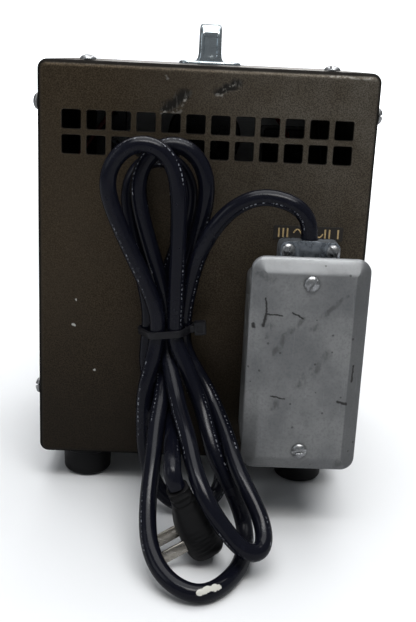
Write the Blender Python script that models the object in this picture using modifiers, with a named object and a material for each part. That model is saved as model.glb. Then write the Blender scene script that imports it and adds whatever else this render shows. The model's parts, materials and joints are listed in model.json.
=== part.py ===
"""Portable variable autotransformer in a metal case.

The table is the plane Z = 0. The rear cover, with the vents, the terminal box and the mains cord,
faces -Y. The control panel, with the knob, the meter and the outlet, faces +Y.
All sizes are in millimetres, and MM turns them into Blender's metres.
"""

import math

import bmesh
import bpy
import numpy as np
from mathutils import Matrix, Vector

MM = 0.001
GAP = 0.3

# Case
CASE_W = 168.3
CASE_H = 206.6
CASE_D = 150.0
FOOT_H = 18.0
CORNER_R = 6.0
FOLD_R = 4.0
CABINET_SHEET = 2.0
COVER_SHEET = 1.5
COVER_DEPTH = 16.0
PANEL_T = 2.0
PANEL_MARGIN = 4.0
FRONT_LIP = 14.0

REAR_Y = -CASE_D / 2
FRONT_Y = CASE_D / 2
BOTTOM_Z = FOOT_H
TOP_Z = FOOT_H + CASE_H
SIDE_X = CASE_W / 2
SEAM_Y = REAR_Y + COVER_DEPTH
CABINET_FRONT_Y = FRONT_Y - PANEL_T - GAP
PANEL_BACK_Y = FRONT_Y - PANEL_T
CENTRE_Z = BOTTOM_Z + CASE_H / 2

# Vents in the rear cover
VENT_COLUMNS = 12
VENT_ROWS = 2
VENT_PITCH = 12.22
VENT_SIZE = 9.1
VENT_TOP_Z = BOTTOM_Z + 183.1

# Case fasteners
COVER_SCREW_Y = REAR_Y + 8.0
TOP_SCREW_X = 60.0
SIDE_SCREW_Z = (54.0, 204.0)
SCREW_HEAD_R = 4.1
SCREW_HEAD_H = 2.6
SCREW_SHANK_R = 1.9
SCREW_SHANK_L = 7.0
SCREW_HOLE_R = SCREW_SHANK_R + GAP
PANEL_SCREW_X = 74.0
PANEL_SCREW_Z = (26.0, 216.6)

# Feet, pushed through the floor of the cabinet
FOOT_R = 14.0
FOOT_X = 60.0
FOOT_Y = 54.0
FOOT_STEM_R = 4.0

# Handle along the top
HANDLE_W = 11.3
HANDLE_L = 92.0
HANDLE_RISE = 20.4
HANDLE_FOOT_W = 32.0
HANDLE_FOOT_L = 20.0
HANDLE_SCREW_Y = 38.0
HANDLE_SCREW_R = 2.4

# Terminal box on the rear cover
BOX_X = 50.0
BOX_Z = BOTTOM_Z + 71.0
BOX_W = 55.7
BOX_H = 106.0
BOX_FRONT_Y = REAR_Y - 50.0
BOX_SHEET = 1.6
BOX_COVER_D = 6.0
BOX_SCREW_DZ = 41.67
BOX_TOP_Z = BOX_Z + BOX_SCREW_DZ - 3.3
KNOCKOUT_R = 10.5

# Mains cord and its clamp
CORD_R = 4.05
CORD_GAP = 8.8
CORD_STEP = 5.0
CLAMP_W = 28.5
CLAMP_Y = -104.0
CLAMP_BOTTOM_Z = BOX_TOP_Z + GAP
CLAMP_TOP_Z = 147.5
CLAMP_FLANGE_R = 11.3
CLAMP_FLANGE_H = 2.0
CLAMP_SADDLE_H = 8.5
CLAMP_SCREW_DX = 10.6
CLAMP_SCREW_Z = 143.3

# Cable tie: the cord crosses it seven times, packed as one strand with six round it
TIE = np.array((-16.8, -88.7, 95.7))
TIE_PITCH = 8.7
TIE_ROW = TIE_PITCH * math.sqrt(3) / 2
TIE_BAND_H = 3.8
TIE_BAND_T = 1.1
TIE_TILT = 6.0
SLOTS = {
    "left": (-TIE_PITCH, 0.0),
    "middle": (0.0, 0.0),
    "right": (TIE_PITCH, 0.0),
    "outer_left": (-TIE_PITCH / 2, -TIE_ROW),
    "outer_right": (TIE_PITCH / 2, -TIE_ROW),
    "inner_left": (-TIE_PITCH / 2, TIE_ROW),
    "inner_right": (TIE_PITCH / 2, TIE_ROW),
}

# Middle of the whole footprint, from the loops of cord behind to the toggle lever in front
FOOTPRINT_Y = -43.1

# Plug: blades along one direction, cord leaving at a right angle to it
PLUG_CENTRE = Vector((2.0, -149.0, 16.5))
PLUG_BLADES = Vector((-0.87, -0.24, -0.43))
PLUG_CORD = Vector((-0.40, -0.19, 0.89))
PLUG_NECK = 26.0
BLADE_PITCH = 12.7
BLADE_W = 6.35
BLADE_T = 1.5
BLADE_L = 15.9

# Toroid, shaft and brush
AXIS_Z = 92.0
CORE_R = (34.0, 61.0)
CORE_Y = (16.0, 56.0)
WINDING_T = 3.0
WINDING_GAP_DEG = 24.0
BASE_R = 62.0
BASE_Y = (61.0, 66.0)
SHAFT_R = 4.76
SHAFT_Y = (-4.0, 96.0)
BUSHING_R = 8.0
BRUSH_R = 48.0
ARM_Y = (2.6, 6.4)
KNOB_REST_DEG = -160.0
KNOB_Y = (78.0, 101.0)
KNOB_SKIRT_R = 26.0
KNOB_GRIP_R = 19.0
DIAL_R = 41.0
DIAL_T = 0.8

# Panel instruments
METER_Z = 180.0
METER_W = 62.0
METER_H = 54.0
METER_BARREL_R = 23.0
METER_POCKET_W = 54.0
METER_POCKET_H = 38.0
METER_POCKET_Z = METER_Z + 5.0
NEEDLE_Y = 82.0
NEEDLE_PIVOT_Z = METER_Z - 9.0
NEEDLE_L = 26.0
NEEDLE_REST_DEG = -45.0
SMALL_X = -56.0
SWITCH_Z = 192.0
LAMP_Z = 170.0
FUSE_Z = 148.0
SWITCH_OFF_DEG = -14.0
SWITCH_PIVOT_Y = 79.0
OUTLET_X = 52.0
OUTLET_Z = 176.0
OUTLET_W = 34.0
OUTLET_H = 27.0
TERMINAL_X = (-24.0, -12.0, 0.0, 12.0, 24.0)


# ---------------------------------------------------------------- scene and materials

def clear_scene():
    for obj in list(bpy.data.objects):
        bpy.data.objects.remove(obj, do_unlink=True)


def new_collection(name):
    collection = bpy.data.collections.new(name)
    bpy.context.scene.collection.children.link(collection)
    return collection


def make_material(name, rgb, roughness, metallic):
    material = bpy.data.materials.new(name)
    material.use_nodes = True
    shader = material.node_tree.nodes["Principled BSDF"]
    shader.inputs["Base Color"].default_value = (*rgb, 1.0)
    shader.inputs["Roughness"].default_value = roughness
    shader.inputs["Metallic"].default_value = metallic
    return material


clear_scene()
PARTS = new_collection("variac_autotransformer")
CUTTERS = new_collection("cutters")
CUTTERS.hide_render = True

BRONZE = make_material("bronze_paint", (0.040, 0.033, 0.024), 0.45, 0.35)
GREY = make_material("box_grey", (0.17, 0.175, 0.175), 0.5, 0.6)
CHROME = make_material("chrome", (0.62, 0.65, 0.68), 0.12, 1.0)
STEEL = make_material("plated_steel", (0.42, 0.42, 0.41), 0.3, 1.0)
NICKEL = make_material("nickel", (0.5, 0.48, 0.45), 0.28, 1.0)
ALUMINIUM = make_material("panel_aluminium", (0.30, 0.30, 0.29), 0.4, 0.9)
RUBBER = make_material("black_rubber", (0.012, 0.012, 0.014), 0.55, 0.0)
CABLE = make_material("black_cable", (0.014, 0.015, 0.020), 0.35, 0.0)
NYLON = make_material("black_nylon", (0.015, 0.015, 0.018), 0.3, 0.0)
PHENOLIC = make_material("black_phenolic", (0.010, 0.010, 0.011), 0.25, 0.0)
COPPER = make_material("enamelled_copper", (0.36, 0.13, 0.05), 0.3, 0.8)
IRON = make_material("core_iron", (0.10, 0.10, 0.11), 0.5, 0.8)
BRASS = make_material("brass", (0.47, 0.33, 0.12), 0.3, 1.0)
CARBON = make_material("carbon", (0.02, 0.02, 0.02), 0.7, 0.0)
CREAM = make_material("scale_cream", (0.72, 0.69, 0.58), 0.6, 0.0)
GLASS = make_material("window", (0.8, 0.85, 0.85), 0.05, 0.0)
RED = make_material("red_lens", (0.45, 0.02, 0.015), 0.15, 0.0)
LABEL = make_material("label_black", (0.02, 0.017, 0.013), 0.5, 0.0)
PVC_RED = make_material("lead_red", (0.30, 0.02, 0.02), 0.4, 0.0)
PVC_BLACK = make_material("lead_black", (0.015, 0.015, 0.016), 0.4, 0.0)


# ---------------------------------------------------------------- building helpers

def metres(point):
    return Vector(point) * MM


def add_object(name, data, collection, material=None):
    obj = bpy.data.objects.new(name, data)
    collection.objects.link(obj)
    if material is not None:
        data.materials.append(material)
    return obj


def mesh_object(name, bm, material, collection=None):
    """Turns a bmesh in millimetres into an object in metres, with outward normals."""
    bmesh.ops.scale(bm, vec=(MM, MM, MM), verts=bm.verts)
    mesh = bpy.data.meshes.new(name)
    bm.to_mesh(mesh)
    bm.free()
    return add_object(name, mesh, collection or PARTS, material)


def as_cutter(obj):
    for owner in list(obj.users_collection):
        owner.objects.unlink(obj)
    CUTTERS.objects.link(obj)
    obj.hide_render = True
    obj.display_type = "WIRE"
    return obj


def evaluated_mesh(obj):
    bpy.context.view_layer.update()
    graph = bpy.context.evaluated_depsgraph_get()
    return bpy.data.meshes.new_from_object(obj.evaluated_get(graph), depsgraph=graph)


def baked(obj):
    """Replaces an object, curve or mesh, by a plain mesh object of its evaluated shape."""
    mesh = evaluated_mesh(obj)
    bm = bmesh.new()
    bm.from_mesh(mesh)
    bmesh.ops.remove_doubles(bm, verts=bm.verts, dist=1e-6)
    bmesh.ops.recalc_face_normals(bm, faces=bm.faces)
    bm.to_mesh(mesh)
    bm.free()
    name = obj.name
    place = obj.matrix_world.copy()
    owners = list(obj.users_collection)
    material = obj.data.materials[0] if obj.data.materials else None
    bpy.data.objects.remove(obj, do_unlink=True)
    mesh.materials.clear()
    result = add_object(name, mesh, owners[0], material)
    result.matrix_world = place
    return result


def boolean(target, other, operation):
    modifier = target.modifiers.new(operation.lower(), "BOOLEAN")
    modifier.operation = operation
    modifier.solver = "EXACT"
    modifier.object = as_cutter(other)
    return target


def cut(target, *others):
    for other in others:
        boolean(target, other, "DIFFERENCE")
    return target


def join(target, *others):
    for other in others:
        boolean(target, other, "UNION")
    return target


def smooth(obj, angle=35.0):
    if obj.type == "MESH":
        obj.data.shade_smooth()
        obj.data.set_sharp_from_angle(angle=math.radians(angle))
    return obj


def bevel(obj, width, segments=2, angle=40.0):
    modifier = obj.modifiers.new("bevel", "BEVEL")
    modifier.width = width * MM
    modifier.segments = segments
    modifier.limit_method = "ANGLE"
    modifier.angle_limit = math.radians(angle)
    return obj


def box(name, low, high, material=None, round_by=0.0, segments=2):
    """A block between two corners, with its edges rounded when round_by is set."""
    low = Vector(low)
    high = Vector(high)
    bm = bmesh.new()
    bmesh.ops.create_cube(bm, size=1.0)
    bmesh.ops.scale(bm, vec=high - low, verts=bm.verts)
    bmesh.ops.translate(bm, vec=(low + high) / 2, verts=bm.verts)
    obj = mesh_object(name, bm, material)
    if round_by:
        bevel(obj, round_by, segments)
    return obj


AXIS_TURN = {
    "X": Matrix.Rotation(math.radians(90), 4, "Y"),
    "-X": Matrix.Rotation(math.radians(-90), 4, "Y"),
    "Y": Matrix.Rotation(math.radians(-90), 4, "X"),
    "-Y": Matrix.Rotation(math.radians(90), 4, "X"),
    "Z": Matrix.Identity(4),
    "-Z": Matrix.Rotation(math.radians(180), 4, "X"),
}


def place(obj, at, axis="Z"):
    """Stands an object's own Z along the named axis, with its origin at a point."""
    obj.matrix_world = Matrix.Translation(metres(at)) @ AXIS_TURN[axis]
    return obj


def rod(name, radius, length, at, axis="Z", material=None, sides=16, top_radius=None):
    """A cylinder or cone that starts at a point and runs along an axis."""
    bm = bmesh.new()
    bmesh.ops.create_cone(
        bm,
        cap_ends=True,
        segments=sides,
        radius1=radius,
        radius2=radius if top_radius is None else top_radius,
        depth=length,
    )
    bmesh.ops.translate(bm, vec=(0, 0, length / 2), verts=bm.verts)
    return smooth(place(mesh_object(name, bm, material), at, axis))


def turned(name, profile, at, axis="Z", material=None, sides=24, closed=False):
    """Spins a (radius, height) profile, listed from its top down its outer side."""
    bm = bmesh.new()
    verts = [bm.verts.new((radius, 0.0, height)) for radius, height in profile]
    for first, second in zip(verts, verts[1:]):
        bm.edges.new((first, second))
    if closed:
        bm.edges.new((verts[-1], verts[0]))
    obj = place(mesh_object(name, bm, material), at, axis)
    screw = obj.modifiers.new("screw", "SCREW")
    screw.axis = "Z"
    screw.steps = sides
    screw.render_steps = sides
    screw.use_merge_vertices = True
    screw.merge_threshold = 0.00001
    screw.use_smooth_shade = True
    return obj


def arc_points(centre, radius, start, stop, steps):
    """Points on an arc in the plane, from start to stop degrees."""
    angles = np.radians(np.linspace(start, stop, steps + 1))
    return [(centre[0] + radius * math.cos(a), centre[1] + radius * math.sin(a)) for a in angles]


def rounded_outline(width, height, radius, steps=3):
    """A rectangle with round corners, about the origin."""
    x = width / 2 - radius
    y = height / 2 - radius
    corners = ((x, y, 0), (-x, y, 90), (-x, -y, 180), (x, -y, 270))
    points = []
    for corner_x, corner_y, start in corners:
        points += arc_points((corner_x, corner_y), radius, start, start + 90, steps)
    return points


def plate(name, outlines, thickness, at, axis="Z", material=None):
    """A flat sheet from one outer outline and any inner ones, centred on its thickness."""
    curve = bpy.data.curves.new(name, "CURVE")
    curve.dimensions = "2D"
    curve.fill_mode = "BOTH"
    curve.extrude = thickness / 2 * MM
    for outline in outlines:
        spline = curve.splines.new("POLY")
        spline.points.add(len(outline) - 1)
        spline.use_cyclic_u = True
        for point, (x, y) in zip(spline.points, outline):
            point.co = (x * MM, y * MM, 0.0, 1.0)
    obj = add_object(name, curve, PARTS, material)
    place(obj, at, axis)
    return baked(obj)


def wire(name, points, radius, material, resolution=2):
    """A round wire through points, with flat ends."""
    curve = bpy.data.curves.new(name, "CURVE")
    curve.dimensions = "3D"
    curve.bevel_depth = radius * MM
    curve.bevel_resolution = resolution
    curve.use_fill_caps = True
    spline = curve.splines.new("POLY")
    spline.points.add(len(points) - 1)
    for point, place_mm in zip(spline.points, points):
        point.co = (*metres(place_mm), 1.0)
    obj = add_object(name, curve, PARTS, material)
    return smooth(baked(obj), 50.0)


def folded_shell(name, low, high, open_side, corner_r, fold_r, sheet, material):
    """A sheet-metal pan: a box open on one Y side, with round corners, folded edges and a thickness.

    open_side is +1 when the opening faces +Y and -1 when it faces -Y.
    """
    low = Vector(low)
    high = Vector(high)
    bm = bmesh.new()
    bmesh.ops.create_cube(bm, size=1.0)
    bmesh.ops.scale(bm, vec=high - low, verts=bm.verts)
    bmesh.ops.translate(bm, vec=(low + high) / 2, verts=bm.verts)
    corners = [e for e in bm.edges if abs((e.verts[0].co - e.verts[1].co).normalized().y) > 0.9]
    bmesh.ops.bevel(
        bm, geom=corners, offset=corner_r, segments=3, profile=0.5, affect="EDGES", clamp_overlap=True
    )
    open_y = high.y if open_side > 0 else low.y
    closed_y = low.y if open_side > 0 else high.y
    opening = [f for f in bm.faces if all(abs(v.co.y - open_y) < 1e-4 for v in f.verts)]
    bmesh.ops.delete(bm, geom=opening, context="FACES_ONLY")
    if fold_r:
        rim = [e for e in bm.edges if all(abs(v.co.y - closed_y) < 1e-4 for v in e.verts)]
        bmesh.ops.bevel(bm, geom=rim, offset=fold_r, segments=3, profile=0.5, affect="EDGES")
    obj = mesh_object(name, bm, material)
    solid = obj.modifiers.new("sheet", "SOLIDIFY")
    solid.thickness = sheet * MM
    solid.offset = -1.0
    solid.use_even_offset = True
    return obj


def tube_section(name, width, height, depth_from, depth_to, corner_r, sheet):
    """A rectangular tube along Y round the case's centre line, as two nested outlines."""
    outer = rounded_outline(width, height, corner_r)
    inner = rounded_outline(width - 2 * sheet, height - 2 * sheet, corner_r - sheet)
    middle = (depth_from + depth_to) / 2
    return plate(name, (outer, inner), depth_to - depth_from, (0.0, middle, CENTRE_Z), "-Y")


def merged(name, objects, material=None):
    """One object from several separate closed shapes, for use as a single cutter."""
    bm = bmesh.new()
    for obj in objects:
        mesh = evaluated_mesh(obj)
        mesh.transform(obj.matrix_world)
        bm.from_mesh(mesh)
        bpy.data.objects.remove(obj, do_unlink=True)
    mesh = bpy.data.meshes.new(name)
    bm.to_mesh(mesh)
    bm.free()
    return add_object(name, mesh, PARTS, material)


def holes(name, places, radius, length, axis, sides=8):
    rods = [rod(f"{name}_{i}", radius, length, at, axis, sides=sides) for i, at in enumerate(places)]
    return merged(name, rods)


def slotted_screw(name, head_r, head_h, shank_r, shank_l, material):
    """A round-head screw with a slot; its origin is under the head and +Z points out of the head."""
    profile = [
        (0.0, head_h),
        (head_r * 0.7, head_h * 0.8),
        (head_r, 0.0),
        (shank_r, 0.0),
        (shank_r, -shank_l),
        (0.0, -shank_l),
    ]
    obj = turned(name, profile, (0, 0, 0), "Z", material, sides=10)
    slot_w = head_r * 0.13
    slot = box(f"{name}_slot", (-head_r * 1.2, -slot_w, head_h * 0.45), (head_r * 1.2, slot_w, head_h * 1.3))
    return smooth(baked(cut(obj, slot)))


def copies(original, stations):
    """Places copies of one fastener, each its own object sharing the mesh: (name, point, axis, turn)."""
    for name, at, axis, turn in stations:
        obj = add_object(name, original.data, PARTS)
        spin = Matrix.Rotation(math.radians(turn), 4, "Z")
        obj.matrix_world = Matrix.Translation(metres(at)) @ AXIS_TURN[axis] @ spin
    bpy.data.objects.remove(original, do_unlink=True)


def hinge_empty(name, at):
    empty = bpy.data.objects.new(name, None)
    PARTS.objects.link(empty)
    empty.location = metres(at)
    return empty


def hang(obj, empty):
    """Parents an object to an empty without moving it."""
    bpy.context.view_layer.update()
    world = obj.matrix_world.copy()
    obj.parent = empty
    obj.matrix_world = world
    return obj


def front_direction(degrees):
    """Unit direction on the control panel, clockwise from twelve o'clock as its user sees it."""
    angle = math.radians(degrees)
    return Vector((-math.sin(angle), 0.0, math.cos(angle)))


# ---------------------------------------------------------------- case

def cover_screw_stations():
    stations = [
        ("cover_screw_top_left", (-TOP_SCREW_X, COVER_SCREW_Y, TOP_Z + GAP), "Z", 20),
        ("cover_screw_top_right", (TOP_SCREW_X, COVER_SCREW_Y, TOP_Z + GAP), "Z", 75),
    ]
    for label, z in zip(("lower", "upper"), SIDE_SCREW_Z):
        stations.append((f"cover_screw_left_{label}", (-SIDE_X - GAP, COVER_SCREW_Y, z), "-X", z))
        stations.append((f"cover_screw_right_{label}", (SIDE_X + GAP, COVER_SCREW_Y, z), "X", 2 * z))
    return stations


def cover_screw_cutters(prefix):
    """Three cutters: the top pair and the two side columns of screw holes."""
    depth = 10.0
    top = [(x, COVER_SCREW_Y, TOP_Z - depth / 2) for x in (-TOP_SCREW_X, TOP_SCREW_X)]
    left = [(-SIDE_X - depth / 2, COVER_SCREW_Y, z) for z in SIDE_SCREW_Z]
    right = [(SIDE_X - depth / 2, COVER_SCREW_Y, z) for z in SIDE_SCREW_Z]
    return (
        holes(f"{prefix}_top", top, SCREW_HOLE_R, depth, "Z"),
        holes(f"{prefix}_left", left, SCREW_HOLE_R, depth, "X"),
        holes(f"{prefix}_right", right, SCREW_HOLE_R, depth, "X"),
    )


def build_cabinet():
    low = (-SIDE_X, SEAM_Y + GAP, BOTTOM_Z)
    high = (SIDE_X, CABINET_FRONT_Y, TOP_Z)
    cabinet = folded_shell("cabinet", low, high, -1, CORNER_R, 2.5, CABINET_SHEET, BRONZE)
    tongue_outset = COVER_SHEET + GAP
    tongue = tube_section(
        "cabinet_tongue",
        CASE_W - 2 * tongue_outset,
        CASE_H - 2 * tongue_outset,
        SEAM_Y - 9.0,
        SEAM_Y + 8.0,
        CORNER_R - tongue_outset,
        CABINET_SHEET,
    )
    join(cabinet, tongue)
    half_w = SIDE_X - FRONT_LIP
    opening = box(
        "front_opening",
        (-half_w, CABINET_FRONT_Y - 12.0, BOTTOM_Z + FRONT_LIP),
        (half_w, CABINET_FRONT_Y + 12.0, TOP_Z - FRONT_LIP),
    )
    cut(cabinet, opening, *cover_screw_cutters("cabinet_screw_holes"))
    floor = [(x, y, BOTTOM_Z - 4.0) for x in (-FOOT_X, FOOT_X) for y in (-FOOT_Y, FOOT_Y)]
    cut(cabinet, holes("foot_holes", floor, FOOT_STEM_R + GAP, 12.0, "Z", 16))
    roof = [(0.0, y, TOP_Z - 6.0) for y in (-HANDLE_SCREW_Y, HANDLE_SCREW_Y)]
    cut(cabinet, holes("handle_holes", roof, HANDLE_SCREW_R + GAP, 12.0, "Z"))
    corners = [(x, CABINET_FRONT_Y - 6.0, z) for x in (-PANEL_SCREW_X, PANEL_SCREW_X) for z in PANEL_SCREW_Z]
    cut(cabinet, holes("lip_holes", corners, SCREW_HOLE_R, 12.0, "Y"))
    return cabinet


def build_rear_cover():
    low = (-SIDE_X, REAR_Y, BOTTOM_Z)
    high = (SIDE_X, SEAM_Y, TOP_Z)
    cover = folded_shell("rear_cover", low, high, 1, CORNER_R, FOLD_R, COVER_SHEET, BRONZE)
    vents = []
    first_x = -(VENT_COLUMNS - 1) / 2 * VENT_PITCH
    for row in range(VENT_ROWS):
        z = VENT_TOP_Z - VENT_SIZE / 2 - row * VENT_PITCH
        for column in range(VENT_COLUMNS):
            x = first_x + column * VENT_PITCH
            half = VENT_SIZE / 2
            outline = rounded_outline(2 * half, 2 * half, 0.9, 1)
            vents.append(plate(f"vent_{row}_{column}", (outline,), 12.0, (x, REAR_Y, z), "-Y"))
    nipple = rod("nipple_hole", KNOCKOUT_R, 12.0, (BOX_X, REAR_Y - 6.0, BOX_Z), "Y", sides=20)
    return cut(cover, merged("vents", vents), nipple, *cover_screw_cutters("cover_screw_holes"))


def build_front_panel():
    width = CASE_W - 2 * PANEL_MARGIN
    height = CASE_H - 2 * PANEL_MARGIN
    panel = plate(
        "front_panel",
        (rounded_outline(width, height, 5.0),),
        PANEL_T,
        (0.0, FRONT_Y - PANEL_T / 2, CENTRE_Z),
        "-Y",
        ALUMINIUM,
    )
    from_y = PANEL_BACK_Y - 5.0
    cut(panel, rod("bushing_hole", BUSHING_R + GAP, 12.0, (0, from_y, AXIS_Z), "Y", sides=20))
    cut(panel, rod("meter_hole", METER_BARREL_R + GAP, 12.0, (0, from_y, METER_Z), "Y", sides=28))
    small = [(SMALL_X, from_y, z) for z in (SWITCH_Z, LAMP_Z, FUSE_Z)]
    cut(panel, holes("small_holes", small, 6.4, 12.0, "Y", 16))
    half_w = OUTLET_W / 2 - 2.0
    half_h = OUTLET_H / 2 - 2.0
    outlet = box(
        "outlet_hole",
        (OUTLET_X - half_w, from_y, OUTLET_Z - half_h),
        (OUTLET_X + half_w, from_y + 12.0, OUTLET_Z + half_h),
    )
    corners = [(x, from_y, z) for x in (-PANEL_SCREW_X, PANEL_SCREW_X) for z in PANEL_SCREW_Z]
    cut(panel, outlet, holes("panel_screw_holes", corners, SCREW_HOLE_R, 12.0, "Y"))
    return panel


def build_case_screws():
    screw = slotted_screw(
        "case_screw", SCREW_HEAD_R, SCREW_HEAD_H, SCREW_SHANK_R, SCREW_SHANK_L, STEEL
    )
    stations = cover_screw_stations()
    names = ("right_lower", "right_upper", "left_lower", "left_upper")
    corners = [(x, z) for x in (-PANEL_SCREW_X, PANEL_SCREW_X) for z in PANEL_SCREW_Z]
    for label, (x, z) in zip(names, corners):
        stations.append((f"panel_screw_{label}", (x, FRONT_Y + GAP, z), "Y", 3 * x + z))
    copies(screw, stations)


def build_handle():
    """A cast bridge handle: an arch seen from the side, on two wide feet."""
    half_l = HANDLE_L / 2
    leg = half_l - 2.0
    base = TOP_Z + GAP
    sunk = 0.5
    outer = [(leg, sunk), (leg, 4.0)]
    outer += arc_points((leg - 9.0, HANDLE_RISE - 8.0), 8.0, 10, 90, 4)
    outer += [(-y, z) for y, z in reversed(outer)]
    inner = [(-leg + 15.0, sunk)]
    inner += arc_points((-leg + 19.0, HANDLE_RISE - 12.0), 5.0, 170, 90, 3)
    inner += [(-y, z) for y, z in reversed(inner)]
    handle = plate("handle", (outer + inner,), HANDLE_W, (0.0, 0.0, base), "X", CHROME)
    handle.matrix_world = (
        Matrix.Translation(metres((0.0, 0.0, base)))
        @ Matrix.Rotation(math.radians(90), 4, "Z")
        @ Matrix.Rotation(math.radians(90), 4, "X")
    )
    bevel(handle, 1.2, 2, 50)
    for label, y in (("rear", -half_l), ("front", half_l - HANDLE_FOOT_L)):
        flare_at = (0.0, y + HANDLE_FOOT_L / 2, base + sunk)
        flare = rod(f"flare_{label}", 8.6, 4.6, flare_at, "Z", sides=20, top_radius=5.2)
        foot = plate(
            f"foot_{label}",
            (rounded_outline(HANDLE_FOOT_W, HANDLE_FOOT_L, 5.0),),
            1.6,
            (0.0, y + HANDLE_FOOT_L / 2, base + 0.8),
        )
        join(handle, foot, flare)
    sockets = [(0.0, y, base - 1.0) for y in (-HANDLE_SCREW_Y, HANDLE_SCREW_Y)]
    cut(handle, holes("handle_sockets", sockets, HANDLE_SCREW_R + 0.1, 9.0, "Z"))
    recess = box(
        "handle_recess",
        (-3.2, -leg - 1.0, base + 3.5),
        (3.2, -leg + 0.8, base + 11.5),
    )
    cut(handle, recess)
    return smooth(baked(handle), 30)


def build_handle_screws():
    screw = slotted_screw("handle_screw", 4.6, 2.4, HANDLE_SCREW_R - 0.2, 9.5, STEEL)
    under = TOP_Z - CABINET_SHEET - GAP
    stations = [
        ("handle_screw_rear", (0.0, -HANDLE_SCREW_Y, under), "-Z", 0),
        ("handle_screw_front", (0.0, HANDLE_SCREW_Y, under), "-Z", 40),
    ]
    copies(screw, stations)


def build_feet():
    """Push-in rubber feet: a round pad, a stem through the floor and a head above it."""
    pad_top = BOTTOM_Z - GAP
    head_bottom = BOTTOM_Z + COVER_SHEET + GAP + CABINET_SHEET + GAP
    profile = [
        (0.0, head_bottom + 3.0),
        (3.6, head_bottom + 3.0),
        (FOOT_STEM_R + 1.6, head_bottom),
        (FOOT_STEM_R, head_bottom),
        (FOOT_STEM_R, pad_top),
        (FOOT_R, pad_top),
        (FOOT_R, 6.0),
        (FOOT_R - 1.6, 1.6),
        (FOOT_R - 4.5, 0.0),
        (0.0, 0.0),
    ]
    for row, y in (("rear", -FOOT_Y), ("front", FOOT_Y)):
        for side, x in (("left", -FOOT_X), ("right", FOOT_X)):
            turned(f"foot_{row}_{side}", profile, (x, y, 0.0), "Z", RUBBER, sides=16)


def build_label():
    low = (35.5, REAR_Y - GAP - 0.8, 141.2)
    high = (70.9, REAR_Y - GAP, 148.4)
    return box("voltage_label", low, high, LABEL, 0.3, 1)


# ---------------------------------------------------------------- terminal box

def build_terminal_box():
    low = (BOX_X - BOX_W / 2 + 1.0, BOX_FRONT_Y + BOX_COVER_D + GAP, BOX_Z - BOX_H / 2 + 1.0)
    high = (BOX_X + BOX_W / 2 - 1.0, REAR_Y - GAP, BOX_TOP_Z)
    body = folded_shell("terminal_box", low, high, -1, 5.0, 2.0, BOX_SHEET, GREY)
    ears = (
        ("lower", low[2] + BOX_SHEET / 2, BOX_Z - BOX_SCREW_DZ + 5.0),
        ("upper", BOX_TOP_Z - 5.0, BOX_Z + BOX_SCREW_DZ + 4.4),
    )
    for label, bottom, top in ears:
        ear = box(f"box_ear_{label}", (BOX_X - 7.0, low[1] + 0.4, bottom), (BOX_X + 7.0, low[1] + 2.4, top))
        join(body, ear)
    screws = [(BOX_X, low[1] - 4.0, BOX_Z + side * BOX_SCREW_DZ) for side in (-1, 1)]
    cut(body, holes("ear_holes", screws, 2.2, 10.0, "Y"))
    cut(body, rod("box_back_hole", KNOCKOUT_R, 10.0, (BOX_X, REAR_Y - 6.0, BOX_Z), "Y", sides=20))
    cut(body, rod("box_top_hole", KNOCKOUT_R, 10.0, (BOX_X, CLAMP_Y, BOX_TOP_Z - 6.0), "Z", sides=20))
    return body


def build_box_cover():
    """A raised cover: a flat centre with a sloping band down to a short rim."""
    low = (BOX_X - BOX_W / 2, BOX_FRONT_Y, BOX_Z - BOX_H / 2)
    high = (BOX_X + BOX_W / 2, BOX_FRONT_Y + BOX_COVER_D, BOX_Z + BOX_H / 2)
    cover = folded_shell("box_cover", low, high, 1, 6.5, 4.0, BOX_SHEET, GREY)
    screws = [(BOX_X, BOX_FRONT_Y - 4.0, BOX_Z + side * BOX_SCREW_DZ) for side in (-1, 1)]
    return cut(cover, holes("box_cover_holes", screws, 2.2, 10.0, "Y"))


def build_box_screws():
    screw = slotted_screw("box_screw", 3.7, 1.9, 1.9, 9.5, STEEL)
    stations = [
        ("box_screw_lower", (BOX_X, BOX_FRONT_Y - GAP, BOX_Z - BOX_SCREW_DZ), "-Y", 5),
        ("box_screw_upper", (BOX_X, BOX_FRONT_Y - GAP, BOX_Z + BOX_SCREW_DZ), "-Y", 60),
    ]
    copies(screw, stations)


def build_box_nipple():
    """The chase nipple and locknut that hold the box on the cover and carry the leads through."""
    inside = REAR_Y + COVER_SHEET + GAP
    box_floor = REAR_Y - GAP - BOX_SHEET - GAP
    profile = [
        (8.4, inside + 3.0),
        (13.5, inside + 3.0),
        (13.5, inside),
        (KNOCKOUT_R - GAP, inside),
        (KNOCKOUT_R - GAP, box_floor),
        (13.0, box_floor),
        (13.0, box_floor - 2.5),
        (8.4, box_floor - 2.5),
    ]
    return turned("box_nipple", profile, (BOX_X, 0.0, BOX_Z), "Y", STEEL, 20, closed=True)


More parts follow.
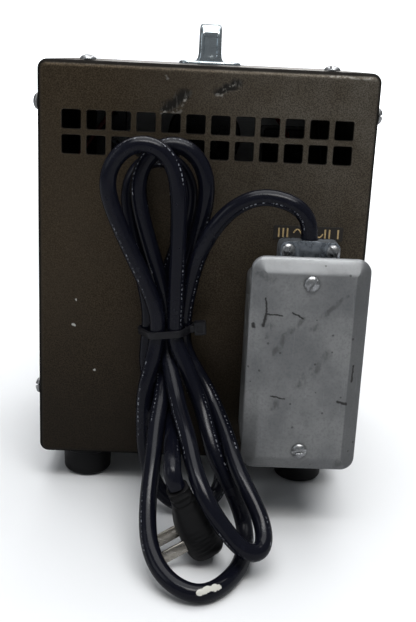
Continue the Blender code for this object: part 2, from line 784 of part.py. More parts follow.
def build_cord_clamp():
    """A two-screw cord grip: a ring through the box's top, a fixed jaw and a loose jaw."""
    half_w = CLAMP_W / 2
    jaw = box(
        "clamp_body",
        (BOX_X - half_w, CLAMP_Y + GAP, CLAMP_BOTTOM_Z),
        (BOX_X + half_w, CLAMP_Y + 9.0, CLAMP_TOP_Z),
        STEEL,
        1.4,
    )
    flange = rod("clamp_flange", CLAMP_FLANGE_R, CLAMP_FLANGE_H, (BOX_X, CLAMP_Y, CLAMP_BOTTOM_Z), "Z", sides=24)
    neck_bottom = BOX_TOP_Z - 8.0
    neck = rod("clamp_neck", KNOCKOUT_R - GAP, 9.5, (BOX_X, CLAMP_Y, neck_bottom), "Z", sides=24)
    join(jaw, flange, neck)
    bore = rod("clamp_bore", CORD_R + 0.5, 50.0, (BOX_X, CLAMP_Y, neck_bottom - 5.0), "Z", sides=16)
    shanks = [(BOX_X + s * CLAMP_SCREW_DX, CLAMP_Y - 3.0, CLAMP_SCREW_Z) for s in (-1, 1)]
    cut(jaw, bore, holes("clamp_threads", shanks, 1.8, 9.0, "Y"))
    smooth(baked(jaw), 30)
    saddle = box(
        "clamp_saddle",
        (BOX_X - half_w, CLAMP_Y - 7.5, CLAMP_TOP_Z - CLAMP_SADDLE_H),
        (BOX_X + half_w, CLAMP_Y - GAP, CLAMP_TOP_Z),
        STEEL,
        1.1,
    )
    bore = rod("saddle_bore", CORD_R + 0.5, 40.0, (BOX_X, CLAMP_Y, CLAMP_BOTTOM_Z), "Z", sides=16)
    shanks = [(BOX_X + s * CLAMP_SCREW_DX, CLAMP_Y - 10.0, CLAMP_SCREW_Z) for s in (-1, 1)]
    cut(saddle, bore, holes("saddle_holes", shanks, 1.8, 12.0, "Y"))
    smooth(baked(saddle), 30)
    screw = slotted_screw("clamp_screw", 3.3, 2.0, 1.5, 11.0, STEEL)
    stations = []
    for label, side, turn in (("left", -1, 70), ("right", 1, 130)):
        at = (BOX_X + side * CLAMP_SCREW_DX, CLAMP_Y - 7.5 - GAP, CLAMP_SCREW_Z)
        stations.append((f"clamp_screw_{label}", at, "-Y", turn))
    copies(screw, stations)


# ---------------------------------------------------------------- mains cord

def plug_frame():
    """The plug's axes: blade direction, blade spacing and cord direction, with its centre."""
    blades = PLUG_BLADES.normalized()
    cord = (PLUG_CORD - PLUG_CORD.dot(blades) * blades).normalized()
    across = cord.cross(blades)
    return blades, across, cord


def through_tie(slot, downwards):
    """Three points where a strand runs straight through the cable tie."""
    x, y = SLOTS[slot]
    heights = (9.0, 0.0, -9.0) if downwards else (-9.0, 0.0, 9.0)
    return [(TIE[0] + x, TIE[1] + y, TIE[2] + z) for z in heights]


def crest(centre, half_width, rise, start_side):
    """The round top of an upper loop, entered from the left (-1) or the right (+1)."""
    points = []
    for degrees in range(0, 181, 36):
        angle = math.radians(degrees)
        x = centre[0] + start_side * half_width * math.cos(angle)
        points.append((x, centre[1], centre[2] + rise * math.sin(angle)))
    return points


def cord_waypoints():
    """The cord's course from the terminal box to the plug, as bends between passes of the tie."""
    cord_axis = plug_frame()[2]
    neck_top = PLUG_CENTRE + cord_axis * (PLUG_NECK + 2 * GAP)
    above_neck = neck_top + cord_axis * 7.0
    entry = [(BOX_X, CLAMP_Y, z) for z in (136.0, 144.0, 152.5)]
    arch = [(47.5, -105, 160), (37, -104, 165.5), (26, -102, 166.5), (14, -101, 161), (4, -99, 149), (-3, -95, 133)]
    near_loop = [
        (6, -98, 64), (14, -117, 50), (23, -138, 36), (32, -152, 22), (32, -162, 14),
        (25, -168, 15), (17, -165, 21), (5, -160, 35), (-5, -143, 50), (-12, -108, 67),
    ]
    case_loop = [
        (4, -84, 49), (15, -92, 24), (13, -97, 8), (-1, -106, 5), (-15, -104, 10), (-24, -101, 29), (-25, -98, 52),
    ]
    far_loop = [
        (3, -108, 61), (12, -124, 45), (20, -130, 28), (26, -133, 10), (25, -148, 5), (17, -171, 5),
        (3, -184.5, 5), (-11, -178, 8), (-19, -165, 15), (-21, -149, 27), (-19, -132, 42), (-16, -110, 58),
    ]
    tail = [(-21, -96, 66), (-15, -112, 58), (-11, -132, 55), (-10, -149, 51), above_neck, neck_top]
    course = entry + arch
    course += through_tie("right", True) + near_loop + through_tie("middle", False)
    course += crest((-16.2, -90, 166), 16.9, 22.5, -1)
    course += through_tie("inner_right", True) + case_loop + through_tie("outer_left", False)
    course += crest((-30.3, -98.5, 168), 17.0, 21, -1)
    course += through_tie("outer_right", True) + far_loop + through_tie("inner_left", False)
    course += crest((-22.7, -80.4, 162), 15.5, 18.5, 1)
    course += through_tie("left", True) + tail
    return [np.array(tuple(point), float) for point in course]


def smooth_course(points, steps):
    """A centripetal Catmull-Rom curve through the points."""
    padded = [2 * points[0] - points[1]] + points + [2 * points[-1] - points[-2]]
    course = []
    for before, start, stop, after in zip(padded, padded[1:], padded[2:], padded[3:]):
        gap_1 = np.linalg.norm(start - before) ** 0.5
        gap_2 = np.linalg.norm(stop - start) ** 0.5
        gap_3 = np.linalg.norm(after - stop) ** 0.5
        leave = ((start - before) / gap_1 - (stop - before) / (gap_1 + gap_2) + (stop - start) / gap_2) * gap_2
        arrive = ((stop - start) / gap_2 - (after - start) / (gap_2 + gap_3) + (after - stop) / gap_3) * gap_2
        for k in range(steps):
            t = k / steps
            course.append(
                (2 * t**3 - 3 * t**2 + 1) * start
                + (t**3 - 2 * t**2 + t) * leave
                + (3 * t**2 - 2 * t**3) * stop
                + (t**3 - t**2) * arrive
            )
    course.append(points[-1])
    return np.array(course)


def evenly_spaced(course, spacing):
    lengths = np.concatenate(([0.0], np.cumsum(np.linalg.norm(np.diff(course, axis=0), axis=1))))
    count = int(round(lengths[-1] / spacing))
    stations = np.linspace(0.0, lengths[-1], count + 1)
    return np.stack([np.interp(stations, lengths, course[:, k]) for k in range(3)], axis=1)


def plug_clearances():
    """Spheres (centre, radius) that stand for the plug where the cord's own loops pass it."""
    blades, across, cord = plug_frame()
    spheres = [(PLUG_CENTRE, 13.0), (PLUG_CENTRE + 12.0 * cord, 9.0), (PLUG_CENTRE + 20.0 * cord, 6.5)]
    for side in (-1, 1):
        for reach in (14.0, 19.0, 24.0):
            spheres.append((PLUG_CENTRE + reach * blades + side * BLADE_PITCH / 2 * across, 3.4))
    return [(np.array(centre), radius) for centre, radius in spheres]


def settled(course, rounds=400):
    """Pushes touching strands apart, off the case, box, plug and table, and keeps the rest of the shape."""
    spheres = plug_clearances()
    box_left = BOX_X - BOX_W / 2 - CORD_R - 0.5
    count = len(course)
    index = np.arange(count)
    apart = np.abs(index[:, None] - index[None]) > int(22 / CORD_STEP)
    in_tie = (np.abs(course[:, 2] - TIE[2]) < 8.5) & (np.abs(course[:, 0] - TIE[0]) < 14) & (course[:, 1] > -97.5)
    held = in_tie | (index < 4) | (index >= count - 2)
    beside_plug = ~held & (index < count - 8)
    now = course.copy()
    for step in range(rounds):
        if step < rounds * 0.8:
            shift = now - course
            eased = shift.copy()
            eased[1:-1] += 0.6 * ((shift[:-2] + shift[2:]) / 2 - shift[1:-1])
            eased *= 0.985
            eased[held] = 0.0
            now = course + eased
        offset = now[:, None] - now[None]
        distance = np.sqrt((offset**2).sum(2)) + 1e-9
        push = np.where(apart & (distance < CORD_GAP), (CORD_GAP - distance) / distance * 0.5, 0.0)
        contacts = np.maximum((push > 0).sum(1), 1)[:, None]
        move = (offset * push[:, :, None]).sum(1) / np.sqrt(contacts)
        move[held] = 0.0
        now = now + 0.9 * move
        beside_case = (now[:, 2] > BOTTOM_Z - 2.0) & ~held
        now[:, 1] = np.where(beside_case, np.minimum(now[:, 1], REAR_Y - CORD_R - 0.5), now[:, 1])
        beside_box = (np.abs(now[:, 2] - BOX_Z) < BOX_H / 2 + CORD_R) & (now[:, 1] > BOX_FRONT_Y - CORD_R - 0.5)
        now[:, 0] = np.where(beside_box & ~held, np.minimum(now[:, 0], box_left), now[:, 0])
        for centre, radius in spheres:
            away = now - centre
            distance = np.linalg.norm(away, axis=1)
            clear = radius + CORD_R + 0.6
            inside = beside_plug & (distance < clear)
            now[inside] += away[inside] / distance[inside, None] * (clear - distance[inside, None])
        now[:, 2] = np.maximum(now[:, 2], CORD_R + 0.45)
    return now


def thinned(course, most_turn, most_length):
    """Keeps a point each time the course has turned or run far enough since the last one kept."""
    kept = [0]
    turned_by = 0.0
    run = 0.0
    for i in range(1, len(course) - 1):
        here = Vector(course[i] - course[i - 1])
        onward = Vector(course[i + 1] - course[i])
        turned_by += math.degrees(here.angle(onward))
        run += here.length
        if turned_by > most_turn or run > most_length:
            kept.append(i)
            turned_by = 0.0
            run = 0.0
    kept.append(len(course) - 1)
    return [tuple(course[i]) for i in kept]


def build_cord():
    course = settled(evenly_spaced(smooth_course(cord_waypoints(), 12), CORD_STEP))
    return wire("cord", thinned(course, 14.0, 16.0), CORD_R, CABLE)


def build_cord_tie():
    """A nylon band round the seven strands, with its locking head at the right."""
    inner = CORD_R + 0.7
    turns = [math.radians(60 * k) for k in range(6)]
    hexagon = [(TIE_PITCH * math.cos(turn), TIE_PITCH * math.sin(turn)) for turn in turns]
    outlines = []
    for radius in (inner + TIE_BAND_T, inner):
        outline = []
        for k, corner in enumerate(hexagon):
            outline += arc_points(corner, radius, 60 * k - 30, 60 * k + 30, 3)
        outlines.append(outline)
    band = plate("cord_tie", outlines, TIE_BAND_H, tuple(TIE), "Z", NYLON)
    edge = TIE_PITCH + inner
    head = box("tie_head", (edge + 0.5, -6.4, -3.2), (edge + 6.6, -1.2, 3.6), None, 0.7, 1)
    tail = box("tie_tail", (edge - 4.0, -6.0, -1.6), (edge + 1.2, -4.9, 1.6))
    for extra in (head, tail):
        extra.location = metres(TIE)
    join(band, tail, head)
    band = baked(band)
    tilt = Matrix.Rotation(math.radians(-TIE_TILT), 4, "Y")
    band.matrix_world = Matrix.Translation(metres(TIE)) @ tilt
    return smooth(band)


def build_plug():
    """A moulded two-blade plug whose cord leaves at a right angle to the blades."""
    sections = (
        (-12.4, 4.5, 5.0), (-11.2, 7.6, 8.6), (-7.0, 9.0, 11.4), (0.0, 9.0, 12.3), (6.0, 8.8, 11.4),
        (12.0, 7.4, 8.6), (17.0, 5.9, 6.2), (PLUG_NECK, 5.2, 5.2),
    )
    sides = 16
    bm = bmesh.new()
    rings = []
    for height, half_x, half_y in sections:
        ring = []
        for k in range(sides):
            angle = 2 * math.pi * k / sides
            c = math.cos(angle)
            s = math.sin(angle)
            power = 0.7
            x = half_x * math.copysign(abs(c) ** power, c)
            y = half_y * math.copysign(abs(s) ** power, s)
            ring.append(bm.verts.new((x, y, height)))
        rings.append(ring)
    for lower, upper in zip(rings, rings[1:]):
        for k in range(sides):
            j = (k + 1) % sides
            bm.faces.new((lower[k], lower[j], upper[j], upper[k]))
    bm.faces.new(list(reversed(rings[0])))
    bm.faces.new(rings[-1])
    body = mesh_object("plug_body", bm, RUBBER)
    blades, across, cord = plug_frame()
    turn = Matrix((blades, across, cord)).transposed().to_4x4()
    frame = Matrix.Translation(metres(PLUG_CENTRE)) @ turn
    body.matrix_world = frame
    root = 5.0
    for label, side in (("far", -1), ("near", 1)):
        y = side * BLADE_PITCH / 2
        low = (root, y - BLADE_T / 2, -BLADE_W / 2)
        high = (9.0 + BLADE_L, y + BLADE_T / 2, BLADE_W / 2)
        clearance = Vector((GAP, GAP, GAP))
        slot = box(f"blade_slot_{label}", Vector(low) - clearance, Vector(high) + clearance)
        slot.matrix_world = frame
        cut(body, slot)
        blade = box(f"plug_blade_{label}", low, high, NICKEL, 0.45, 1)
        hole = rod(f"blade_hole_{label}", 1.6, 6.0, (0, 0, 0), "Z", sides=12)
        hole.matrix_world = frame @ Matrix.Translation(metres((high[0] - 3.2, y + 3.0, 0.0))) @ AXIS_TURN["-Y"]
        blade.matrix_world = frame
        cut(blade, hole)
    return smooth(body, 60)


# ---------------------------------------------------------------- transformer

def build_core():
    inner, outer = CORE_R
    low, high = CORE_Y
    profile = [(inner, high), (outer - 2, high), (outer, high - 2), (outer, low + 2), (outer - 2, low), (inner, low)]
    return turned("core", profile, (0.0, 0.0, AXIS_Z), "Y", IRON, 28, closed=True)


def build_winding():
    """The single-layer winding: a sleeve round the core, open over a gap at the bottom."""
    inner, outer = CORE_R
    low, high = CORE_Y

    def ring(name, grow):
        r1 = inner - grow
        r2 = outer + grow
        y1 = low - grow
        y2 = high + grow
        profile = [(r1, y2), (r2 - 2, y2), (r2, y2 - 2), (r2, y1 + 2), (r2 - 2, y1), (r1, y1)]
        return baked(turned(name, profile, (0.0, 0.0, AXIS_Z), "Y", COPPER, 28, closed=True))

    winding = ring("winding", WINDING_T)
    half_angle = math.radians(WINDING_GAP_DEG / 2)
    reach = 90.0
    side = reach * math.tan(half_angle)
    wedge = plate(
        "winding_gap",
        ([(0.0, -8.0), (-side, -reach), (side, -reach)],),
        80.0,
        (0.0, (low + high) / 2, AXIS_Z),
        "-Y",
    )
    wedge.matrix_world = Matrix.Translation(metres((0.0, (low + high) / 2, AXIS_Z))) @ Matrix.Rotation(
        math.radians(90), 4, "X"
    )
    return cut(winding, ring("winding_inside", GAP), wedge)


def build_base():
    """The moulded base: a disc behind the panel with a hub that centres the core."""
    y1, y2 = BASE_Y
    hub = PANEL_BACK_Y - GAP
    profile = [
        (BUSHING_R + GAP, hub),
        (15.0, hub),
        (15.0, y2),
        (BASE_R, y2),
        (BASE_R, y1),
        (24.0, y1),
        (22.0, 30.0),
        (BUSHING_R + GAP, 30.0),
    ]
    base = turned("mounting_base", profile, (0.0, 0.0, AXIS_Z), "Y", PHENOLIC, 24, closed=True)
    windows = []
    for k in range(4):
        angle = math.radians(45 + 90 * k)
        at = (41.0 * math.cos(angle), y1 - 4.0, AXIS_Z + 41.0 * math.sin(angle))
        windows.append(at)
    return cut(base, holes("base_windows", windows, 11.0, 14.0, "Y", 12))


def build_bushing():
    bore = SHAFT_R + GAP
    profile = [
        (bore, FRONT_Y + 3.2),
        (10.5, FRONT_Y + 3.2),
        (10.5, FRONT_Y + GAP + DIAL_T + GAP),
        (BUSHING_R, FRONT_Y + GAP + DIAL_T + GAP),
        (BUSHING_R, 34.0),
        (bore, 34.0),
    ]
    return turned("shaft_bushing", profile, (0.0, 0.0, AXIS_Z), "Y", BRASS, 20, closed=True)


def build_rotor(axis_empty):
    """Everything that turns with the knob: shaft, brush arm, carbon brush and the knob itself."""
    y1, y2 = SHAFT_Y
    shaft = turned(
        "shaft",
        [(0.0, y2), (SHAFT_R - 0.6, y2), (SHAFT_R, y2 - 0.6), (SHAFT_R, y1), (0.0, y1)],
        (0.0, 0.0, AXIS_Z),
        "Y",
        STEEL,
        20,
    )
    toward = front_direction(KNOB_REST_DEG)
    heading = math.degrees(math.atan2(toward.z, toward.x))

    hub_r = 13.0
    tip_r = 8.0
    outline = arc_points((0.0, 0.0), hub_r, 60, 300, 10)
    outline += arc_points((BRUSH_R, 0.0), tip_r, -70, 70, 6)
    middle = (ARM_Y[0] + ARM_Y[1]) / 2
    arm = plate("brush_arm", (outline,), ARM_Y[1] - ARM_Y[0], (0, 0, 0), "Z", ALUMINIUM)
    turn = Matrix.Rotation(math.radians(-heading), 4, "Y") @ Matrix.Rotation(math.radians(90), 4, "X")
    arm_frame = Matrix.Translation(metres((0.0, middle, AXIS_Z))) @ turn
    arm.matrix_world = arm_frame
    hub = rod("arm_hub", 11.0, 8.0, (0.0, ARM_Y[0] - 5.0, AXIS_Z), "Y", sides=20)
    join(arm, hub)
    cut(arm, rod("arm_bore", SHAFT_R + GAP, 30.0, (0.0, -10.0, AXIS_Z), "Y", sides=20))
    holder = box("brush_holder", (BRUSH_R - 6, -4.5, -6.5), (BRUSH_R + 6, 4.5, -1.0))
    holder.matrix_world = arm_frame
    socket = box("brush_socket", (BRUSH_R - 4.3, -2.8, -9.0), (BRUSH_R + 4.3, 2.8, -0.5))
    socket.matrix_world = arm_frame
    join(arm, holder)
    cut(arm, socket)

    track_y = CORE_Y[0] - WINDING_T - GAP
    depth = track_y - middle
    brush = box("carbon_brush", (BRUSH_R - 4, -2.5, -depth), (BRUSH_R + 4, 2.5, -1.0), CARBON)
    brush.matrix_world = arm_frame

    k1, k2 = KNOB_Y
    profile = [
        (0.0, k2),
        (KNOB_GRIP_R - 1.6, k2),
        (KNOB_GRIP_R - 0.2, k2 - 1.2),
        (KNOB_GRIP_R, k1 + 7.5),
        (KNOB_SKIRT_R - 1.0, k1 + 2.8),
        (KNOB_SKIRT_R, k1 + 1.4),
        (KNOB_SKIRT_R, k1 + 0.3),
        (11.5, k1 + 0.3),
        (11.5, k1 + 1.5),
        (0.0, k1 + 1.5),
    ]
    knob = turned("knob", profile, (0.0, 0.0, AXIS_Z), "Y", PHENOLIC, 30)
    flutes = []
    for k in range(9):
        side = front_direction(KNOB_REST_DEG + 40 * k + 20) * (KNOB_GRIP_R + 2.6)
        flutes.append((side.x, k1 + 7.5, AXIS_Z + side.z))
    cut(knob, holes("knob_flutes", flutes, 4.0, 30.0, "Y", 8))
    pointer = box("knob_pointer", (-0.8, k2 - 1.0, 4.0), (0.8, k2 + 0.8, KNOB_GRIP_R - 2.4), None)
    pointer.matrix_world = Matrix.Translation(metres((0, 0, AXIS_Z))) @ Matrix.Rotation(
        math.radians(-KNOB_REST_DEG), 4, "Y"
    )
    join(knob, pointer)
    cut(knob, rod("knob_bore", SHAFT_R + GAP, y2 + GAP - k1 + 5.0, (0.0, k1 - 5.0, AXIS_Z), "Y", sides=20))

    for obj in (shaft, arm, brush, knob):
        hang(obj, axis_empty)


def build_dial():
    ring = plate(
        "dial_plate",
        (arc_points((0, 0), DIAL_R, 0, 350, 35), arc_points((0, 0), BUSHING_R + GAP, 0, 342, 19)),
        DIAL_T,
        (0.0, FRONT_Y + GAP + DIAL_T / 2, AXIS_Z),
        "-Y",
        ALUMINIUM,
    )
    return ring


def build_terminal_block():
    floor_z = BOTTOM_Z + CABINET_SHEET + GAP
    block = box("terminal_block", (-34.0, 60.5, floor_z), (34.0, 70.3, floor_z + 8.2), PHENOLIC, 0.8, 1)
    sockets = [(x, 68.0, floor_z + 4.0) for x in TERMINAL_X]
    return cut(block, holes("terminal_sockets", sockets, 2.0, 9.0, "Z", 8))


# ---------------------------------------------------------------- panel instruments

def build_meter(needle_empty):
    face_y = FRONT_Y + GAP
    front_y = face_y + 10.5
    case = box(
        "meter_case",
        (-METER_W / 2, face_y, METER_Z - METER_H / 2),
        (METER_W / 2, front_y, METER_Z + METER_H / 2),
        PHENOLIC,
        1.6,
    )
    barrel = rod("meter_barrel", METER_BARREL_R, 26.0, (0, face_y - 25.0, METER_Z), "Y", sides=32)
    join(case, barrel)
    half_w = METER_POCKET_W / 2
    half_h = METER_POCKET_H / 2
    pocket = box(
        "meter_pocket",
        (-half_w, NEEDLE_Y - 3.5, METER_POCKET_Z - half_h),
        (half_w, front_y + 4.0, METER_POCKET_Z + half_h),
    )
    movement = rod("meter_movement", 14.0, 18.0, (0, NEEDLE_Y - 20.0, METER_Z), "Y", sides=20)
    cut(case, pocket, movement)
    window_low = (-half_w + GAP, front_y - 2.0, METER_POCKET_Z - half_h + GAP)
    window_high = (half_w - GAP, front_y - 0.4, METER_POCKET_Z + half_h - GAP)
    box("meter_window", window_low, window_high, GLASS)
    scale = box(
        "meter_scale",
        (-half_w + GAP, NEEDLE_Y - 3.2, METER_POCKET_Z - half_h + GAP),
        (half_w - GAP, NEEDLE_Y - 2.2, METER_POCKET_Z + half_h - GAP),
        CREAM,
    )
    arbor_hole = rod("scale_hole", 2.2, 8.0, (0, NEEDLE_Y - 6.0, NEEDLE_PIVOT_Z), "Y", sides=12)
    cut(scale, arbor_hole)

    turn = Matrix.Translation(metres((0.0, NEEDLE_Y, NEEDLE_PIVOT_Z))) @ Matrix.Rotation(
        math.radians(-NEEDLE_REST_DEG), 4, "Y"
    )
    outline = [(-0.9, -4.0), (0.9, -4.0), (0.7, 2.0), (0.35, NEEDLE_L), (-0.35, NEEDLE_L), (-0.7, 2.0)]
    needle = plate("meter_needle", (outline,), 0.5, (0, 0, 0), "Z", RED)
    needle.matrix_world = turn @ Matrix.Rotation(math.radians(90), 4, "X")
    arbor = rod("needle_arbor", 1.6, 9.0, (0.0, NEEDLE_Y - 8.0, NEEDLE_PIVOT_Z), "Y", sides=12)
    join(needle, arbor)
    hang(needle, needle_empty)


def build_switch(pivot_empty):
    body = box(
        "switch_body",
        (SMALL_X - 7.0, PANEL_BACK_Y - 24.0, SWITCH_Z - 11.0),
        (SMALL_X + 7.0, PANEL_BACK_Y - GAP, SWITCH_Z + 11.0),
        PHENOLIC,
    )
    bushing = rod("switch_bushing", 5.9, 12.0, (SMALL_X, PANEL_BACK_Y - 1.0, SWITCH_Z), "Y", sides=20)
    nut = rod("switch_nut", 8.2, 2.2, (SMALL_X, FRONT_Y + GAP, SWITCH_Z), "Y", sides=6)
    join(body, bushing, nut)
    cavity = rod("switch_cavity", 3.9, 22.0, (SMALL_X, PANEL_BACK_Y - 6.0, SWITCH_Z), "Y", sides=16)
    cut(body, cavity)
    lever = turned(
        "switch_lever",
        [
            (0.0, 20.0),
            (1.9, 19.3),
            (2.9, 17.0),
            (2.6, 13.0),
            (1.5, 6.5),
            (1.5, 2.4),
            (2.6, 1.4),
            (2.9, 0.0),
            (2.2, -1.9),
            (0.0, -2.9),
        ],
        (SMALL_X, SWITCH_PIVOT_Y, SWITCH_Z),
        "Y",
        CHROME,
        14,
    )
    tilt = Matrix.Rotation(math.radians(SWITCH_OFF_DEG), 4, "X")
    lever.matrix_world = Matrix.Translation(metres((SMALL_X, SWITCH_PIVOT_Y, SWITCH_Z))) @ tilt @ AXIS_TURN["Y"]
    hang(lever, pivot_empty)


def build_lamp():
    profile = [
        (5.3, FRONT_Y + 3.2),
        (7.2, FRONT_Y + 3.0),
        (8.0, FRONT_Y + GAP),
        (6.0, FRONT_Y + GAP),
        (6.0, 46.0),
        (0.0, 46.0),
        (0.0, 48.0),
        (5.3, 48.0),
    ]
    turned("lamp_holder", profile, (SMALL_X, 0.0, LAMP_Z), "Y", CHROME, 20, closed=True)
    dome = [(0.0, 83.0), (2.4, 82.4), (4.2, 80.6), (5.0, 78.0), (5.0, 62.0), (0.0, 62.0)]
    turned("lamp_lens", dome, (SMALL_X, 0.0, LAMP_Z), "Y", RED, 20)


def build_fuse(slide_empty):
    face = FRONT_Y + GAP
    holder = [
        (4.9, face + 2.5),
        (8.6, face + 2.5),
        (9.0, face),
        (6.0, face),
        (6.0, 38.0),
        (2.0, 38.0),
        (2.0, 41.0),
        (4.9, 41.0),
    ]
    turned("fuse_holder", holder, (SMALL_X, 0.0, FUSE_Z), "Y", PHENOLIC, 20, closed=True)
    top = face + 2.5 + GAP
    cap = [
        (0.0, top + 8.0),
        (6.2, top + 8.0),
        (7.0, top + 7.0),
        (7.4, top),
        (4.5, top),
        (4.5, 66.0),
        (0.0, 66.0),
    ]
    cap_object = turned("fuse_cap", cap, (SMALL_X, 0.0, FUSE_Z), "Y", PHENOLIC, 20)
    slot = box(
        "fuse_cap_slot",
        (SMALL_X - 5.0, top + 6.8, FUSE_Z - 0.7),
        (SMALL_X + 5.0, top + 9.0, FUSE_Z + 0.7),
    )
    cut(cap_object, slot)
    hang(cap_object, slide_empty)


def build_outlet():
    """A grounded outlet let into the panel, with two blade slots and a round ground hole."""
    face = FRONT_Y + GAP
    outlet = box(
        "output_receptacle",
        (OUTLET_X - OUTLET_W / 2, face, OUTLET_Z - OUTLET_H / 2),
        (OUTLET_X + OUTLET_W / 2, face + 3.0, OUTLET_Z + OUTLET_H / 2),
        PHENOLIC,
        1.0,
    )
    half_w = OUTLET_W / 2 - 2.3
    half_h = OUTLET_H / 2 - 2.3
    body = box(
        "outlet_body",
        (OUTLET_X - half_w, face - 26.0, OUTLET_Z - half_h),
        (OUTLET_X + half_w, face + 1.0, OUTLET_Z + half_h),
    )
    join(outlet, body)
    for side, half_height in ((-1, 4.1), (1, 3.5)):
        x = OUTLET_X + side * BLADE_PITCH / 2
        low = (x - 1.1, face - 16.0, OUTLET_Z + 3.0 - half_height)
        high = (x + 1.1, face + 6.0, OUTLET_Z + 3.0 + half_height)
        cut(outlet, box(f"outlet_slot_{side}", low, high))
    ground = rod("outlet_ground", 2.6, 22.0, (OUTLET_X, face - 16.0, OUTLET_Z - 7.0), "Y", sides=14)
    return cut(outlet, ground)


def build_leads():
    """Three internal leads, from the box nipple to the panel parts."""
    line = [
        (BOX_X - 3, -112, BOX_Z), (BOX_X - 3, -60, BOX_Z), (66, -40, 78), (74, -10, 70), (74, 30, 110),
        (70, 46, 195), (20, 40, 214), (-40, 36, 208), (-56, 44, 196), (-56, 48.2, 192),
    ]
    neutral = [
        (BOX_X + 3, -112, BOX_Z - 1), (BOX_X + 3, -60, BOX_Z - 1), (70, -36, 60), (72, 0, 40), (66, 40, 30),
        (50, 62, 27), (40, 69, 32), (27, 69, 35), (24, 68, 31), (24, 68, 27),
    ]
    output = [
        (-24, 68, 27), (-24, 68, 31), (-28, 69, 36), (-46, 69, 34), (-66, 60, 44), (-74, 30, 90), (-74, 20, 170),
        (-30, 30, 212), (30, 36, 206), (52, 44, 184), (52, 48.5, 180),
    ]
    courses = (("lead_line", line, PVC_BLACK), ("lead_neutral", neutral, CREAM), ("lead_output", output, PVC_RED))
    for name, points, material in courses:
        stations = [np.array(point, float) for point in points]
        wire(name, [tuple(p) for p in smooth_course(stations, 2)], 1.4, material, 1)


# ---------------------------------------------------------------- assembly

def seat_on_origin():
    """Slides everything so that the origin is under the middle of the whole footprint."""
    for obj in bpy.data.objects:
        if obj.parent is None:
            obj.location.y -= FOOTPRINT_Y * MM


def build_all():
    build_cabinet()
    build_rear_cover()
    build_front_panel()
    build_case_screws()
    build_handle()
    build_handle_screws()
    build_feet()
    build_label()

    build_terminal_box()
    build_box_cover()
    build_box_screws()
    build_box_nipple()
    build_cord_clamp()
    build_cord()
    build_cord_tie()
    build_plug()

    build_core()
    build_winding()
    build_base()
    build_bushing()
    build_dial()
    build_terminal_block()
    build_rotor(hinge_empty("knob_axis", (0.0, 0.0, AXIS_Z)))

    build_meter(hinge_empty("needle_axis", (0.0, NEEDLE_Y, NEEDLE_PIVOT_Z)))
    build_switch(hinge_empty("switch_axis", (SMALL_X, SWITCH_PIVOT_Y, SWITCH_Z)))
    build_lamp()
    build_fuse(hinge_empty("fuse_cap_axis", (SMALL_X, FRONT_Y, FUSE_Z)))
    build_outlet()
    build_leads()
    seat_on_origin()


build_all()
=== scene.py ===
"""The looks of a bench variac autotransformer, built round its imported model.

Lengths are millimetres in the case's own frame: X to the right of someone who faces the rear cover, Y from
the rear cover towards the front panel with zero halfway between them, and Z up from the table.
"""

import json
import math

import bmesh
import bpy
import numpy as np
from mathutils import Matrix, Vector, noise


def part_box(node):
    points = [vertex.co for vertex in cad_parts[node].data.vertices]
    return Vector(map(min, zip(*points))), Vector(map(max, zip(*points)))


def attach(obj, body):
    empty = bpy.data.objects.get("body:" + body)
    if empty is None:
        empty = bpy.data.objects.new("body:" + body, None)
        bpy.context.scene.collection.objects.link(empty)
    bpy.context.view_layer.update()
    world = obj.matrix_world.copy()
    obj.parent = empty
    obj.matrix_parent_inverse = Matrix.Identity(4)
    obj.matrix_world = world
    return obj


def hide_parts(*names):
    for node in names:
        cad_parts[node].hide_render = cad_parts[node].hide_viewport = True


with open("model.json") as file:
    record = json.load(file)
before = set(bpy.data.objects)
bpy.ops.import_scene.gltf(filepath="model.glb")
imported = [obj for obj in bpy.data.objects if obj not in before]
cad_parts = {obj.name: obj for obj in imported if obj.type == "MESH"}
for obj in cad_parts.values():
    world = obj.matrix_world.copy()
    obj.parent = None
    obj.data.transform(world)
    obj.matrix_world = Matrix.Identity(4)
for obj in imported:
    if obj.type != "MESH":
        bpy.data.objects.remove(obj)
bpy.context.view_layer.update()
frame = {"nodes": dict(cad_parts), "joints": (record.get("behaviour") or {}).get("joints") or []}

MM = 0.001
CASE_Y = (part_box("rear_cover")[0].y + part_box("front_panel")[1].y) / 2
TO_ROW = Matrix.Translation((0.0, CASE_Y, 0.0)) @ Matrix.Scale(MM, 4)
TO_CASE = TO_ROW.inverted()


def row(x, y, z):
    """A point in the case's frame, in metres in the row's frame."""
    return TO_ROW @ Vector((x, y, z))


def span(node):
    """Lowest and highest corner of a CAD node, in millimetres in the case's frame."""
    low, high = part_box(node)
    return TO_CASE @ low, TO_CASE @ high


def middle(node):
    low, high = span(node)
    return (low + high) / 2


def halves(node):
    """Half a CAD node's width, depth and height."""
    low, high = span(node)
    return [(b - a) / 2 for a, b in zip(low, high)]


def centre_xz(node):
    low, high = span(node)
    return (low.x + high.x) / 2, (low.z + high.z) / 2


COVER = span("rear_cover")
CABINET = span("cabinet")
PANEL = span("front_panel")
BOX_COVER = span("box_cover")
JOINTS = {j["name"]: TO_CASE @ Vector(j["pos_m"]) for j in frame["joints"] if "pos_m" in j}
AXIS_Z = JOINTS["knob_turn"].z
REAR_Y = COVER[0].y
SEAM_Y = COVER[1].y
FRONT_Y = PANEL[1].y
SIDE_X = COVER[1].x
BOTTOM_Z = COVER[0].z
TOP_Z = COVER[1].z
CENTRE_Z = (BOTTOM_Z + TOP_Z) / 2
HALF_H = (TOP_Z - BOTTOM_Z) / 2
SEAM_GAP = 0.3


# ---------------------------------------------------------------- mesh helpers

SHARP = 35.0


